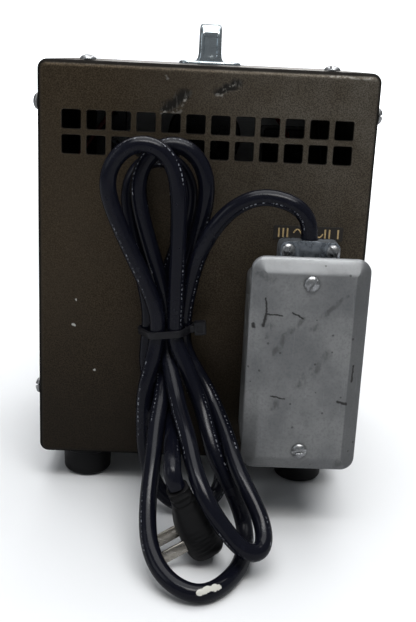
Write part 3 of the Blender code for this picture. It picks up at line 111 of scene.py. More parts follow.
def to_mesh(name, bm):
    """Mesh data in the row's frame, from a mesh in millimetres in the case's frame."""
    bmesh.ops.remove_doubles(bm, verts=bm.verts, dist=1e-4)
    bmesh.ops.recalc_face_normals(bm, faces=bm.faces)
    bmesh.ops.transform(bm, matrix=TO_ROW, verts=bm.verts)
    mesh = bpy.data.meshes.new(name)
    bm.to_mesh(mesh)
    bm.free()
    return mesh


def add_object(name, data):
    obj = bpy.data.objects.new(name, data)
    bpy.context.scene.collection.objects.link(obj)
    return obj


def shade(mesh, material, sharp=SHARP):
    mesh.materials.clear()
    mesh.materials.append(material)
    mesh.polygons.foreach_set("material_index", [0] * len(mesh.polygons))
    mesh.shade_smooth()
    mesh.set_sharp_from_angle(angle=math.radians(sharp))


def piece(name, bm, material, body="case", replaces=(), sharp=SHARP, flat_first=False):
    """Turns a mesh in millimetres into a visible piece that rides on a body."""
    mesh = to_mesh(name, bm)
    shade(mesh, material, sharp)
    obj = add_object(name, mesh)
    if flat_first:
        obj.modifiers.new("flat_faces_lead", "WEIGHTED_NORMAL").keep_sharp = True
    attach(obj, body)
    if replaces:
        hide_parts(*replaces)
    return obj


def skin(bm, rings, closed=False, caps=True):
    """Joins rings of equally many points into a surface, as a tube with flat ends or as a closed loop."""
    rows = [[bm.verts.new(point) for point in ring] for ring in rings]
    following = rows[1:] + rows[:1] if closed else rows[1:]
    count = len(rows[0])
    for row, after in zip(rows, following):
        for k in range(count):
            j = (k + 1) % count
            bm.faces.new((row[k], row[j], after[j], after[k]))
    if caps and not closed:
        bm.faces.new(list(reversed(rows[0])))
        bm.faces.new(rows[-1])
    return rows


def arc(centre, radius, start, stop, steps):
    """Points on an arc in a plane, from start to stop degrees."""
    angles = np.radians(np.linspace(start, stop, steps + 1))
    return [(centre[0] + radius * math.cos(a), centre[1] + radius * math.sin(a)) for a in angles]


def rounded(half_a, half_b, radius, corner=6, straight_a=1, straight_b=1):
    """Points round a rectangle with round corners; straight_a and straight_b split its sides."""
    radius = max(min(radius, half_a - 0.01, half_b - 0.01), 0.01)
    a = half_a - radius
    b = half_b - radius
    points = []
    starts = (
        (a, b, 0, straight_a), (-a, b, 90, straight_b), (-a, -b, 180, straight_a), (a, -b, 270, straight_b),
    )
    for k, (corner_a, corner_b, start, splits) in enumerate(starts):
        points += arc((corner_a, corner_b), radius, start, start + 90, corner)
        here = Vector(points[-1])
        nxt = starts[(k + 1) % 4]
        turn = math.radians(nxt[2])
        there = Vector((nxt[0] + radius * math.cos(turn), nxt[1] + radius * math.sin(turn)))
        for step in range(1, splits):
            points.append(tuple(here.lerp(there, step / splits)))
    return points


def stack(bm, profile, half_a, half_b, corner_r, to_point, closed=False, corner=6, splits=(1, 1)):
    """Lofts rounded rectangles through a profile of (inset, depth) pairs."""
    rings = []
    for inset, depth in profile:
        outline = rounded(half_a - inset, half_b - inset, corner_r - inset, corner, *splits)
        rings.append([to_point(a, b, depth) for a, b in outline])
    skin(bm, rings, closed)
    return bm


def eased(edge, low, high):
    """A slab's profile from low to high, with its edges taken off."""
    return [(edge, low), (0.0, low + edge), (0.0, high - edge), (edge, high)]


def along_y(x, z):
    return lambda a, b, depth: Vector((x + a, depth, z + b))


def along_z(x, y):
    return lambda a, b, depth: Vector((x + a, y + b, depth))


def along_x(y, z):
    return lambda a, b, depth: Vector((depth, y + a, z + b))


def round_steps(sides):
    """Equal angles round a circle, as pairs of cosine and sine."""
    turns = [2 * math.pi * k / sides for k in range(sides)]
    return [(math.cos(t), math.sin(t)) for t in turns]


def lathe(bm, profile, to_point, sides=48, closed=False):
    """Turns a profile of (radius, depth) pairs."""
    rings = []
    for radius, depth in profile:
        r = max(radius, 1e-5)
        rings.append([to_point(r * c, r * s, depth) for c, s in round_steps(sides)])
    skin(bm, rings, closed)
    return bm


def turned(*shape, **options):
    """A lathe shape on its own."""
    return lathe(bmesh.new(), *shape, **options)


def lofted(*shape, **options):
    """A stack on its own."""
    return stack(bmesh.new(), *shape, **options)


def bore(bm, node, axis, radius, low, high, sides=20):
    """Adds a straight round cutter on a CAD node's centre line."""
    at = middle(node)
    place = {"X": along_x(at.y, at.z), "Y": along_y(at.x, at.z), "Z": along_z(at.x, at.y)}
    lathe(bm, [(radius, low), (radius, high)], place[axis], sides)


def carve(obj, bm, union=False):
    """Cuts closed shapes, in millimetres, out of a piece, or adds them to it."""
    tool = add_object("tool", to_mesh("tool", bm))
    modifier = obj.modifiers.new("carve", "BOOLEAN")
    modifier.operation = "UNION" if union else "DIFFERENCE"
    modifier.solver = "EXACT"
    modifier.object = tool
    settle(obj)
    bpy.data.objects.remove(tool, do_unlink=True)


def settle(obj):
    """Applies a piece's modifiers, apart from the one that weights its normals."""
    kept = [m for m in obj.modifiers if m.type == "WEIGHTED_NORMAL"]
    for modifier in kept:
        modifier.show_viewport = False
    bpy.context.view_layer.update()
    graph = bpy.context.evaluated_depsgraph_get()
    mesh = bpy.data.meshes.new_from_object(obj.evaluated_get(graph), depsgraph=graph)
    for modifier in [m for m in obj.modifiers if m.type != "WEIGHTED_NORMAL"]:
        obj.modifiers.remove(modifier)
    for modifier in kept:
        modifier.show_viewport = True
    shade(mesh, obj.data.materials[0])
    obj.data = mesh


def ease_edges(obj, width, segments, angle):
    """Rounds a piece's sharp edges."""
    modifier = obj.modifiers.new("ease", "BEVEL")
    modifier.width = width * MM
    modifier.segments = segments
    modifier.limit_method = "ANGLE"
    modifier.angle_limit = math.radians(angle)
    modifier.use_clamp_overlap = True
    settle(obj)


def block(bm, low, high, to_point=None):
    """A plain block, laid out by to_point where one is given."""
    made = bmesh.ops.create_cube(bm, size=1.0)["verts"]
    low = Vector(low)
    high = Vector(high)
    bmesh.ops.scale(bm, vec=high - low, verts=made)
    bmesh.ops.translate(bm, vec=(low + high) / 2, verts=made)
    if to_point:
        for vert in made:
            vert.co = to_point(*vert.co)
    return bm


def tube(bm, path, radius, sides, length_uv=False):
    """A round tube along a path, with its own length and turn as UVs where length_uv is set."""
    points = [Vector(p) for p in path]
    tangents = []
    for k in range(len(points)):
        tangents.append((points[min(k + 1, len(points) - 1)] - points[max(k - 1, 0)]).normalized())
    across = tangents[0].orthogonal().normalized()
    rings = []
    for point, tangent in zip(points, tangents):
        across = (across - tangent * across.dot(tangent)).normalized()
        other = tangent.cross(across)
        rings.append([point + (across * c + other * s) * radius for c, s in round_steps(sides)])
    rows = skin(bm, rings)
    if length_uv:
        lay_length(bm, rows, points, tangents)
    return bm


def lay_length(bm, rows, points, tangents):
    """UVs in millimetres along the tube and in turns round it, zero towards whoever faces the rear."""
    uv = bm.loops.layers.uv.new("length")
    length = 0.0
    turn = 0.0
    place = {}
    towards = Vector((0.0, -1.0, 0.25)).normalized()
    for k, row in enumerate(rows):
        if k:
            length += (points[k] - points[k - 1]).length
        facing = towards - tangents[k] * towards.dot(tangents[k])
        if facing.length > 0.3:
            first = (row[0].co - points[k]).normalized()
            turn_now = math.atan2(first.cross(facing).dot(tangents[k]), first.dot(facing)) / (2 * math.pi)
            turn += (turn_now - turn + 0.5) % 1.0 - 0.5
        for j, vert in enumerate(row):
            place[vert] = (length, j / len(row) - turn)
    for face in bm.faces:
        values = [place[loop.vert] for loop in face.loops]
        wraps = max(v for _, v in values) - min(v for _, v in values) > 0.5
        for loop, (u, v) in zip(face.loops, values):
            if wraps and v < max(w for _, w in values) - 0.5:
                v += 1.0
            loop[uv].uv = (u, v)


def smooth_course(points, steps):
    """A centripetal Catmull-Rom curve through the points."""
    points = [np.array(tuple(p), float) for p in points]
    padded = [2 * points[0] - points[1]] + points + [2 * points[-1] - points[-2]]
    course = []
    for before, start, stop, after in zip(padded, padded[1:], padded[2:], padded[3:]):
        gap_1 = np.linalg.norm(start - before) ** 0.5
        gap_2 = np.linalg.norm(stop - start) ** 0.5
        gap_3 = np.linalg.norm(after - stop) ** 0.5
        slope = (stop - start) / gap_2
        leave = ((start - before) / gap_1 - (stop - before) / (gap_1 + gap_2) + slope) * gap_2
        arrive = (slope - (after - start) / (gap_2 + gap_3) + (after - stop) / gap_3) * gap_2
        for k in range(steps):
            t = k / steps
            course.append(
                (2 * t**3 - 3 * t**2 + 1) * start
                + (t**3 - 2 * t**2 + t) * leave
                + (3 * t**2 - 2 * t**3) * stop
                + (t**3 - t**2) * arrive
            )
    course.append(points[-1])
    return np.array(course)


# ---------------------------------------------------------------- materials

class Graph:
    """A node tree and short ways to add to it."""

    def __init__(self, tree):
        self.tree = tree

    def feed(self, socket, value):
        if isinstance(value, bpy.types.NodeSocket):
            self.tree.links.new(value, socket)
        else:
            socket.default_value = (*value, 1.0) if socket.type == "RGBA" else value

    def node(self, kind, inputs=None, **settings):
        made = self.tree.nodes.new(kind)
        for key, value in settings.items():
            setattr(made, key, value)
        for key, value in (inputs or {}).items():
            self.feed(made.inputs[key], value)
        return made

    def band(self, value, low, high, out_low=0.0, out_high=1.0):
        """Maps low..high smoothly to out_low..out_high, and stays at the ends outside."""
        ends = {"From Min": low, "From Max": high, "To Min": out_low, "To Max": out_high}
        made = self.node("ShaderNodeMapRange", {"Value": value, **ends}, interpolation_type="SMOOTHSTEP")
        return made.outputs["Result"]

    def math(self, operation, first, second=0.0, clamp=False):
        made = self.node("ShaderNodeMath", {0: first, 1: second}, operation=operation, use_clamp=clamp)
        return made.outputs[0]

    def times(self, first, *others):
        for other in others:
            first = self.math("MULTIPLY", first, other)
        return first

    def vector(self, operation, first, second=None):
        """A vector, or the plain number that a dot product or a length gives."""
        inputs = {0: first}
        if second is not None:
            inputs["Scale" if operation == "SCALE" else 1] = second
        made = self.node("ShaderNodeVectorMath", inputs, operation=operation)
        return made.outputs["Value" if operation in ("DOT_PRODUCT", "LENGTH") else "Vector"]

    def parts(self, vector):
        return self.node("ShaderNodeSeparateXYZ", {0: vector}).outputs


class Finish(Graph):
    """A procedural material: a Principled shader fed by noise in the piece's own coordinates, in metres."""

    def __init__(self, name, roughness=0.5, metallic=0.0):
        self.material = bpy.data.materials.new(f"{name}_look")
        self.material.use_nodes = True
        super().__init__(self.material.node_tree)
        self.shader = self.tree.nodes["Principled BSDF"]
        self.point = self.node("ShaderNodeTexCoord").outputs["Object"]
        self.set(Roughness=roughness, Metallic=metallic)

    def set(self, **values):
        for key, value in values.items():
            self.feed(self.shader.inputs[key.replace("_", " ")], value)

    def noise(self, per_metre, detail=2.0, stretch=None, colour=False, roughness=0.55):
        point = self.point
        if stretch:
            point = self.node("ShaderNodeMapping", {"Vector": point, "Scale": stretch}).outputs["Vector"]
        inputs = {"Vector": point, "Scale": per_metre, "Detail": detail, "Roughness": roughness}
        return self.node("ShaderNodeTexNoise", inputs).outputs["Color" if colour else "Fac"]

    def cells(self, per_metre):
        inputs = {"Vector": self.point, "Scale": per_metre}
        return self.node("ShaderNodeTexVoronoi", inputs).outputs["Distance"]

    def mix(self, amount, first, second):
        return self.node("ShaderNodeMix", {0: amount, 6: first, 7: second}, data_type="RGBA").outputs[2]

    def edges(self, radius_mm, low, high):
        """One along outer edges and corners, fading within about the radius."""
        soft = self.node("ShaderNodeBevel", {"Radius": radius_mm * MM}, samples=4).outputs["Normal"]
        true = self.node("ShaderNodeNewGeometry").outputs["Normal"]
        return self.band(self.math("SUBTRACT", 1.0, self.vector("DOT_PRODUCT", soft, true)), low, high)

    def facing(self, axis):
        """The normal's share along an axis."""
        return self.parts(self.node("ShaderNodeNewGeometry").outputs["Normal"])[axis]

    def along(self, axis):
        """The distance along an axis, in metres."""
        return self.parts(self.point)[axis]

    def warped(self, per_metre, amount_mm):
        """The point, pushed about by noise, for ragged outlines."""
        shift = self.vector("SUBTRACT", self.noise(per_metre, 3.0, colour=True), (0.5, 0.5, 0.5))
        return self.vector("ADD", self.point, self.vector("SCALE", shift, amount_mm * MM * 2))

    def pressed(self, point, y):
        """The point moved straight onto the upright plane at depth y."""
        parts = self.parts(point)
        inputs = {"X": parts["X"], "Y": row(0.0, y, 0.0).y, "Z": parts["Z"]}
        return self.node("ShaderNodeCombineXYZ", inputs).outputs[0]

    def marks(self, strokes, point, softness=1.0):
        """One inside any stroke; a stroke is (start, stop, half width)."""
        total = None
        for start, stop, width in strokes:
            inputs = {"Point": point, "Start": row(*start), "Stop": row(*stop), "Width": width * MM}
            inputs["Softness"] = width * MM * (1 - 0.75 * softness)
            mask = self.node("ShaderNodeGroup", inputs, node_tree=stroke_group()).outputs["Mask"]
            total = mask if total is None else self.math("MAXIMUM", total, mask)
        return total

    def bump(self, height, depth_mm, strength=0.5):
        """Adds the relief, and hands over the finished material."""
        inputs = {"Strength": strength, "Distance": depth_mm * MM, "Height": height}
        self.set(Normal=self.node("ShaderNodeBump", inputs).outputs["Normal"])
        return self.material


def stroke_group():
    """A node group: one near the line from Start to Stop, falling to zero at Width."""
    found = bpy.data.node_groups.get("stroke")
    if found:
        return found
    tree = bpy.data.node_groups.new("stroke", "ShaderNodeTree")
    kinds = {"Point": "Vector", "Start": "Vector", "Stop": "Vector", "Width": "Float", "Softness": "Float"}
    for name, kind in kinds.items():
        tree.interface.new_socket(name, in_out="INPUT", socket_type=f"NodeSocket{kind}")
    tree.interface.new_socket("Mask", in_out="OUTPUT", socket_type="NodeSocketFloat")
    g = Graph(tree)
    ins = g.node("NodeGroupInput").outputs
    from_start = g.vector("SUBTRACT", ins["Point"], ins["Start"])
    line = g.vector("SUBTRACT", ins["Stop"], ins["Start"])
    dots = [g.vector("DOT_PRODUCT", other, line) for other in (from_start, line)]
    nearest = g.vector("SCALE", line, g.math("DIVIDE", *dots, clamp=True))
    distance = g.vector("LENGTH", g.vector("SUBTRACT", from_start, nearest))
    g.node("NodeGroupOutput", {"Mask": g.band(distance, ins["Softness"], ins["Width"], 1.0, 0.0)})
    return tree


def strokes_at(y, rows):
    """Strokes on the upright plane at depth y, from rows of X, Z, X, Z and half width."""
    return [((x, y, z), (to_x, y, to_z), width) for x, z, to_x, to_z, width in rows]


def bronze_paint():
    """Olive-bronze metallic enamel: fine speckle, worn edges and two bare knocks under the top edge, with
    painted shade low down and round the folded edge, and a painted sheen towards the upper right.
    """
    f = Finish("bronze_paint", 0.42, 0.3)
    speckle = f.band(f.noise(1500, 2.0, roughness=0.7), 0.34, 0.68)
    colour = f.mix(speckle, (0.028, 0.0200, 0.0115), (0.078, 0.058, 0.035))
    colour = f.mix(f.band(f.noise(22, 3.0), 0.35, 0.75, 0.0, 0.45), colour, (0.050, 0.039, 0.027))
    # Painted shade: the paint is darkened towards the bottom of the case, where less light reaches it.
    painted_low_shade = f.band(f.along("Z"), 0.02, 0.14, 0.74, 0.0)
    colour = f.mix(painted_low_shade, colour, (0.012, 0.010, 0.008))
    # Painted sheen: the paint is lightened towards the upper right, where light glances off it; the haze mask
    # here carries this painted sheen.
    haze = f.times(
        f.band(f.along("X"), -0.06, 0.07), f.band(f.along("Z"), 0.08, 0.22, 0.0, 0.95),
        f.band(f.noise(60, 4.0), 0.25, 0.65, 0.5, 1.0), f.band(speckle, 0.0, 1.0, 0.35, 1.0),
    )
    colour = f.mix(haze, colour, (0.140, 0.126, 0.104))
    # Painted shade: where the rear cover's edge folds round and its faces turn sideways, the paint is
    # darkened almost to black, standing in for the shade and dark reflections there; the same mask also
    # roughens it, dims its shine and keeps the worn-edge brightening off it.
    fold_y = row(0.0, REAR_Y, 0.0).y
    on_fold = f.band(f.along("Y"), fold_y + 0.0035, fold_y + 0.0050, 1.0, 0.0)
    painted_fold_shade = f.times(on_fold, f.band(f.math("ABSOLUTE", f.facing("Y")), 0.70, 0.94, 0.93, 0.0))
    colour = f.mix(painted_fold_shade, colour, (0.006, 0.0055, 0.005))
    unshaded = f.math("SUBTRACT", 1.0, painted_fold_shade)

    fine = f.warped(900, 0.7)
    big = strokes_at(REAR_Y, ((-20.5, 203.5, -12.0, 210.5, 4.4), (4.0, 212.5, 14.0, 217.0, 3.3)))
    knocks = f.marks(big, f.warped(260, 2.6))
    rubbed = (
        (-23.0, 201.8, -14.0, 202.6, 1.5), (-13.0, 205.0, -11.5, 209.5, 0.9), (3.5, 211.5, 6.0, 210.8, 1.2),
        (6.0, 213.5, 12.5, 216.5, 0.6), (-21.5, 219.0, -20.5, 217.5, 0.8), (58.0, 222.6, 80.0, 222.0, 1.3),
        (-76.0, 223.3, -48.0, 223.3, 1.0),
    )
    rub = f.marks(strokes_at(REAR_Y, rubbed), fine)
    spots = (
        (-66.0, 91.6, -65.2, 91.0, 0.9), (-54.8, 66.6, -54.2, 66.9, 0.7), (-64.4, 105.2, -64.2, 104.4, 0.6),
    )
    specks = f.marks(strokes_at(REAR_Y, spots), fine)
    streaks = f.band(f.noise(520, 3.0, (1.0, 1.0, 0.3)), 0.52, 0.64)
    colour = f.mix(f.times(knocks, 0.9), colour, (0.013, 0.0125, 0.012))
    bright = f.times(knocks, streaks, 0.3)
    bright = f.math("MAXIMUM", bright, f.times(rub, f.band(f.noise(700, 2.0), 0.42, 0.6)))
    edge = f.times(f.edges(0.9, 0.03, 0.25), f.band(f.noise(180, 3.0), 0.40, 0.62), 0.75)
    bright = f.times(f.math("MAXIMUM", bright, edge), unshaded)
    colour = f.mix(bright, colour, (0.21, 0.20, 0.18))
    colour = f.mix(specks, colour, (0.55, 0.54, 0.50))
    rough = f.math("ADD", f.band(f.noise(90, 3.0), 0.3, 0.7, 0.36, 0.50), f.times(painted_fold_shade, 0.35))
    metallic = f.times(f.band(bright, 0.0, 1.0, 0.6, 0.85), unshaded)
    f.set(Base_Color=colour, Roughness=rough, Metallic=metallic)
    f.set(Specular_IOR_Level=f.band(painted_fold_shade, 0.0, 1.0, 0.25, 0.04))
    return f.bump(f.math("ADD", f.times(speckle, 0.06), f.times(knocks, -1.0)), 0.5, 0.8)


def box_grey():
    """Dull grey plated sheet with dark scratches, smudges and bright rubbed edges, with a painted highlight
    on faces that turn up, painted shade on faces that turn right and painted shadow round the screws.
    """
    f = Finish("box_grey", 0.5, 0.55)
    face_y = BOX_COVER[0].y
    cloud = f.noise(45, 4.0)
    colour = f.mix(f.band(cloud, 0.3, 0.7), (0.172, 0.176, 0.180), (0.262, 0.266, 0.266))
    colour = f.mix(f.band(f.noise(900, 2.0), 0.4, 0.75, 0.0, 0.3), colour, (0.10, 0.105, 0.11))

    def marked(per_metre, amount_mm, rows):
        return f.marks(strokes_at(face_y, rows), f.pressed(f.warped(per_metre, amount_mm), face_y))

    scratches = marked(420, 0.9, (
        (29.3, 123.0, 30.3, 115.0, 0.55), (30.0, 115.5, 28.7, 109.6, 1.1), (29.7, 115.4, 37.3, 115.1, 0.6),
        (42.0, 116.6, 47.2, 114.0, 0.5), (24.2, 110.0, 24.6, 108.2, 1.0), (72.6, 91.5, 72.6, 83.5, 0.7),
        (66.7, 73.5, 70.6, 72.4, 1.0), (34.6, 75.2, 41.3, 73.7, 0.5),
    ))
    smudges = marked(130, 4.0, (
        (31.6, 109.0, 30.6, 105.0, 2.0), (35.9, 72.5, 36.2, 68.5, 2.2), (60.0, 97.5, 48.5, 80.0, 2.8),
        (46.5, 112.5, 35.5, 97.0, 2.2), (66.0, 126.0, 52.0, 109.0, 1.8), (70.3, 41.5, 69.0, 38.5, 3.6),
        (26.0, 133.0, 33.0, 131.5, 2.2),
    ))
    dark = f.math("MAXIMUM", scratches, f.band(f.cells(120), 0.06, 0.085, 0.6, 0.0))
    streaks = f.band(f.noise(330, 4.0, (1.0, 1.0, 0.5)), 0.36, 0.66)
    colour = f.mix(f.times(smudges, streaks, 0.5), colour, (0.045, 0.045, 0.045))
    # Painted highlight: faces that turn upwards, such as the cover's sloping top band, are lightened for the
    # light from above.
    painted_top_highlight = f.times(f.band(f.facing("Z"), 0.08, 0.40), f.band(f.noise(70, 3.0), 0.3, 0.65, 0.15, 0.6))
    colour = f.mix(painted_top_highlight, colour, (0.37, 0.38, 0.39))
    # Painted shade: faces that turn to the right are darkened.
    painted_right_shade = f.band(f.facing("X"), 0.08, 0.30, 0.0, 0.6)
    colour = f.mix(painted_right_shade, colour, (0.085, 0.087, 0.090))
    hairs = f.band(f.noise(900, 3.0, (1.0, 1.0, 0.06)), 0.62, 0.70, 0.0, 0.14)
    colour = f.mix(hairs, colour, (0.34, 0.35, 0.36))
    edge = f.times(f.edges(1.8, 0.006, 0.10), f.band(f.noise(150, 4.0), 0.34, 0.56), 0.75)
    colour = f.mix(edge, colour, (0.48, 0.49, 0.50))
    # Painted shadow: a dark ring round the head of each of the two cover screws.
    painted_screw_shadow = marked(300, 0.8, [(50.0, z, 50.1, z, 5.0) for z in (47.3, 130.7)])
    colour = f.mix(f.times(painted_screw_shadow, 0.65), colour, (0.030, 0.029, 0.028))
    colour = f.mix(f.times(dark, 0.9), colour, (0.018, 0.017, 0.016))
    f.set(Base_Color=colour, Roughness=f.band(cloud, 0.3, 0.7, 0.40, 0.56))
    return f.bump(f.math("SUBTRACT", f.times(f.noise(240, 3.0), 0.12), f.times(dark, 0.35)), 0.35, 0.7)


def chrome():
    """Bright plate over a casting: faint ripple and fine scuffs."""
    f = Finish("chrome", 0.14, 0.88)
    scuff = f.band(f.noise(260, 4.0, (1.0, 0.3, 1.0)), 0.48, 0.7)
    f.set(Base_Color=f.mix(scuff, (0.43, 0.48, 0.51), (0.30, 0.34, 0.36)))
    f.set(Roughness=f.band(scuff, 0.0, 1.0, 0.12, 0.3))
    return f.bump(f.noise(160, 2.0), 0.12)


def plated_steel():
    """Dulled zinc plate with dark grime and small bright wear."""
    f = Finish("plated_steel", 0.34, 1.0)
    dull = f.band(f.noise(420, 4.0), 0.35, 0.7)
    colour = f.mix(dull, (0.50, 0.51, 0.52), (0.27, 0.27, 0.27))
    colour = f.mix(f.times(f.edges(0.4, 0.03, 0.3), 0.7), colour, (0.72, 0.73, 0.74))
    f.set(Base_Color=colour, Roughness=f.band(dull, 0.0, 1.0, 0.26, 0.48))
    return f.bump(f.noise(900, 2.0), 0.08)


def nickel():
    """Drawn strip, plated and handled."""
    f = Finish("nickel", 0.3, 1.0)
    drawn = f.noise(500, 3.0, (0.35, 1.0, 1.0))
    f.set(Base_Color=f.mix(f.band(drawn, 0.4, 0.7), (0.74, 0.70, 0.62), (0.52, 0.48, 0.42)))
    f.set(Roughness=f.band(drawn, 0.3, 0.7, 0.22, 0.42))
    return f.bump(drawn, 0.05)


def panel_aluminium():
    """Satin sheet, brushed across its width."""
    f = Finish("panel_aluminium", 0.36, 0.9)
    brushed = f.noise(4200, 2.0, (0.006, 1.0, 1.0))
    f.set(Base_Color=f.mix(f.band(brushed, 0.25, 0.75), (0.45, 0.45, 0.44), (0.39, 0.39, 0.385)))
    f.set(Roughness=f.band(brushed, 0.3, 0.7, 0.30, 0.44))
    return f.bump(brushed, 0.03)


def black_rubber():
    f = Finish("black_rubber", 0.6)
    dusty = f.band(f.noise(70, 4.0), 0.45, 0.75, 0.0, 0.5)
    f.set(Base_Color=f.mix(dusty, (0.0045, 0.0045, 0.005), (0.013, 0.0125, 0.012)))
    f.set(Roughness=f.band(dusty, 0.0, 0.5, 0.45, 0.65), Specular_IOR_Level=0.25)
    return f.bump(f.noise(1500, 2.0), 0.06, 0.6)


def black_cable():
    """Smooth black jacket with a soft sheen, and a line of plain dashes printed along it."""
    f = Finish("black_cable", 0.34)
    dusty = f.band(f.noise(60, 4.0), 0.45, 0.75, 0.0, 0.45)
    colour = f.mix(dusty, (0.0038, 0.0042, 0.0080), (0.0080, 0.0085, 0.0140))
    length, turn, _ = f.parts(f.node("ShaderNodeUVMap", uv_map="length").outputs["UV"])
    round_it = f.math("SUBTRACT", f.math("FRACT", f.math("ADD", turn, 0.5 + PRINT_TURN)), 0.5)
    in_line = f.band(f.math("ABSOLUTE", round_it), 0.009, 0.017, 1.0, 0.0)
    group = f.math("GREATER_THAN", f.math("PINGPONG", length, 37.0), 17.0)
    dash = f.math("GREATER_THAN", f.math("FRACT", f.math("DIVIDE", length, 2.3)), 0.38)
    worn = f.band(f.noise(650, 3.0), 0.46, 0.64)
    ink = f.times(in_line, f.times(group, dash), worn, 0.45)
    colour = f.mix(ink, colour, (0.40, 0.42, 0.46))
    colour = f.mix(f.marks(CORD_PAINT, f.warped(500, 1.4), 0.3), colour, (0.58, 0.57, 0.52))
    f.set(Base_Color=colour, Roughness=f.band(dusty, 0.0, 0.5, 0.17, 0.32), Specular_IOR_Level=0.22)
    return f.bump(f.noise(800, 2.0), 0.05)


def black_nylon():
    f = Finish("black_nylon", 0.36)
    f.set(Base_Color=f.mix(f.noise(300, 3.0), (0.006, 0.006, 0.008), (0.012, 0.012, 0.014)))
    f.set(Specular_IOR_Level=0.3)
    return f.bump(f.noise(1200, 2.0), 0.04)


def black_phenolic():
    """Glossy moulded phenolic with faint swirl and a hazed, dusty surface."""
    f = Finish("black_phenolic", 0.22)
    haze = f.band(f.noise(120, 5.0), 0.4, 0.75)
    f.set(Base_Color=f.mix(haze, (0.0075, 0.0075, 0.008), (0.019, 0.018, 0.017)))
    f.set(Roughness=f.band(haze, 0.0, 1.0, 0.18, 0.36))
    return f.bump(f.noise(500, 2.0), 0.04, 0.4)


def enamelled_copper():
    """Close turns of enamelled wire, radial on the faces of the toroid."""
    f = Finish("enamelled_copper", 0.3, 0.85)
    angle = f.math("ARCTAN2", f.along("X"), f.math("SUBTRACT", f.along("Z"), AXIS_Z * MM))
    turn = f.math("PINGPONG", f.times(angle, 76.0), 1.0)
    f.set(Base_Color=f.mix(turn, (0.13, 0.045, 0.016), (0.42, 0.16, 0.06)))
    f.set(Roughness=f.band(f.noise(90), 0.3, 0.7, 0.24, 0.4))
    return f.bump(turn, 0.35, 0.9)


def plain(name, dark, light, roughness, metallic=0.0, per_metre=350, bump_mm=0.05):
    """A finish with a little variation in tone, gloss and surface."""
    f = Finish(name, roughness, metallic)
    grain = f.noise(per_metre, 3.0)
    f.set(Base_Color=f.mix(f.band(grain, 0.3, 0.7), dark, light))
    f.set(Roughness=f.band(grain, 0.3, 0.7, roughness * 0.85, min(roughness * 1.2, 1.0)))
    return f.bump(grain, bump_mm)


def window_glass():
    f = Finish("window", 0.04)
    haze = f.band(f.noise(80, 4.0), 0.4, 0.8, 0.02, 0.12)
    f.set(Base_Color=(0.96, 0.98, 0.98), Transmission_Weight=1.0, IOR=1.2, Roughness=haze)
    return f.material


def red_plastic():
    f = Finish("red_plastic", 0.12)
    depth = f.noise(200, 2.0)
    f.set(Base_Color=f.mix(depth, (0.42, 0.012, 0.008), (0.62, 0.03, 0.02)), Coat_Weight=0.5)
    f.set(Subsurface_Weight=0.15, Roughness=f.band(depth, 0.3, 0.7, 0.1, 0.2))
    return f.material


# ---------------------------------------------------------------- case

CORNER_R = 4.8
FOLD_R = 4.0
COVER_SHEET = 1.5
CABINET_SHEET = 2.0
SCREW_HOLE_R = 2.2
NIPPLE_HOLE_R = 10.5
COVER_SCREWS = ("top_left", "top_right", "left_lower", "left_upper", "right_lower", "right_upper")
PANEL_SCREWS = [f"panel_screw_{side}_{level}" for side in ("left", "right") for level in ("lower", "upper")]
HANDLE_SCREWS = ("handle_screw_front", "handle_screw_rear")
BOX_SCREWS = ("box_screw_lower", "box_screw_upper")
CLAMP_SCREWS = ("clamp_screw_left", "clamp_screw_right")
FEET = ("foot_rear_left", "foot_rear_right", "foot_front_left", "foot_front_right")
VENT_COLUMNS = 12
VENT_PITCH = 12.22
VENT_HALF = 4.55
VENT_ROW_Z = (196.55, 184.33)


def fade(value, low, high):
    t = min(max((value - low) / (high - low), 0.0), 1.0)
    return t * t * (3 - 2 * t)


def case_shell(name, node, profile, paint, closed):
    """A folded sheet that goes round the case's outline."""
    shell = lofted(profile, SIDE_X, HALF_H, CORNER_R, along_y(0, CENTRE_Z), closed, corner=8)
    return piece(name, shell, paint, replaces=(node,), flat_first=True)


def screw_holes():
    """Cutters for the six screws that join the cover to the cabinet."""
    bm = bmesh.new()
    for label in COVER_SCREWS:
        node = f"cover_screw_{label}"
        if label.startswith("top"):
            bore(bm, node, "Z", SCREW_HOLE_R, TOP_Z - 8, TOP_Z + 4)
        else:
            wall = math.copysign(SIDE_X, middle(node).x)
            bore(bm, node, "X", SCREW_HOLE_R, wall - 8, wall + 8)
    return bm


def build_rear_cover(paint):
    """The folded rear pan with its two rows of square vents."""
    fold = (FOLD_R, REAR_Y + FOLD_R)
    profile = arc(fold, FOLD_R - COVER_SHEET, 270, 180, 6)
    profile += [(COVER_SHEET, SEAM_Y - 0.3), (COVER_SHEET - 0.3, SEAM_Y)]
    profile += [(0.35, SEAM_Y), (0.0, SEAM_Y - 0.35)]
    profile += arc(fold, FOLD_R, 180, 270, 8)
    cover = case_shell("rear_cover_shell", "rear_cover", profile, paint, closed=False)
    cuts = screw_holes()
    punched = [(-0.3, REAR_Y - 1), (-0.3, REAR_Y), (0.0, REAR_Y + 0.3), (0.0, REAR_Y + 4)]
    for z in VENT_ROW_Z:
        for column in range(VENT_COLUMNS):
            x = (column - (VENT_COLUMNS - 1) / 2) * VENT_PITCH
            stack(cuts, punched, VENT_HALF, VENT_HALF, 0.9, along_y(x, z), corner=4)
    bore(cuts, "box_nipple", "Y", NIPPLE_HOLE_R, REAR_Y - 3, REAR_Y + 6, 32)
    carve(cover, cuts)


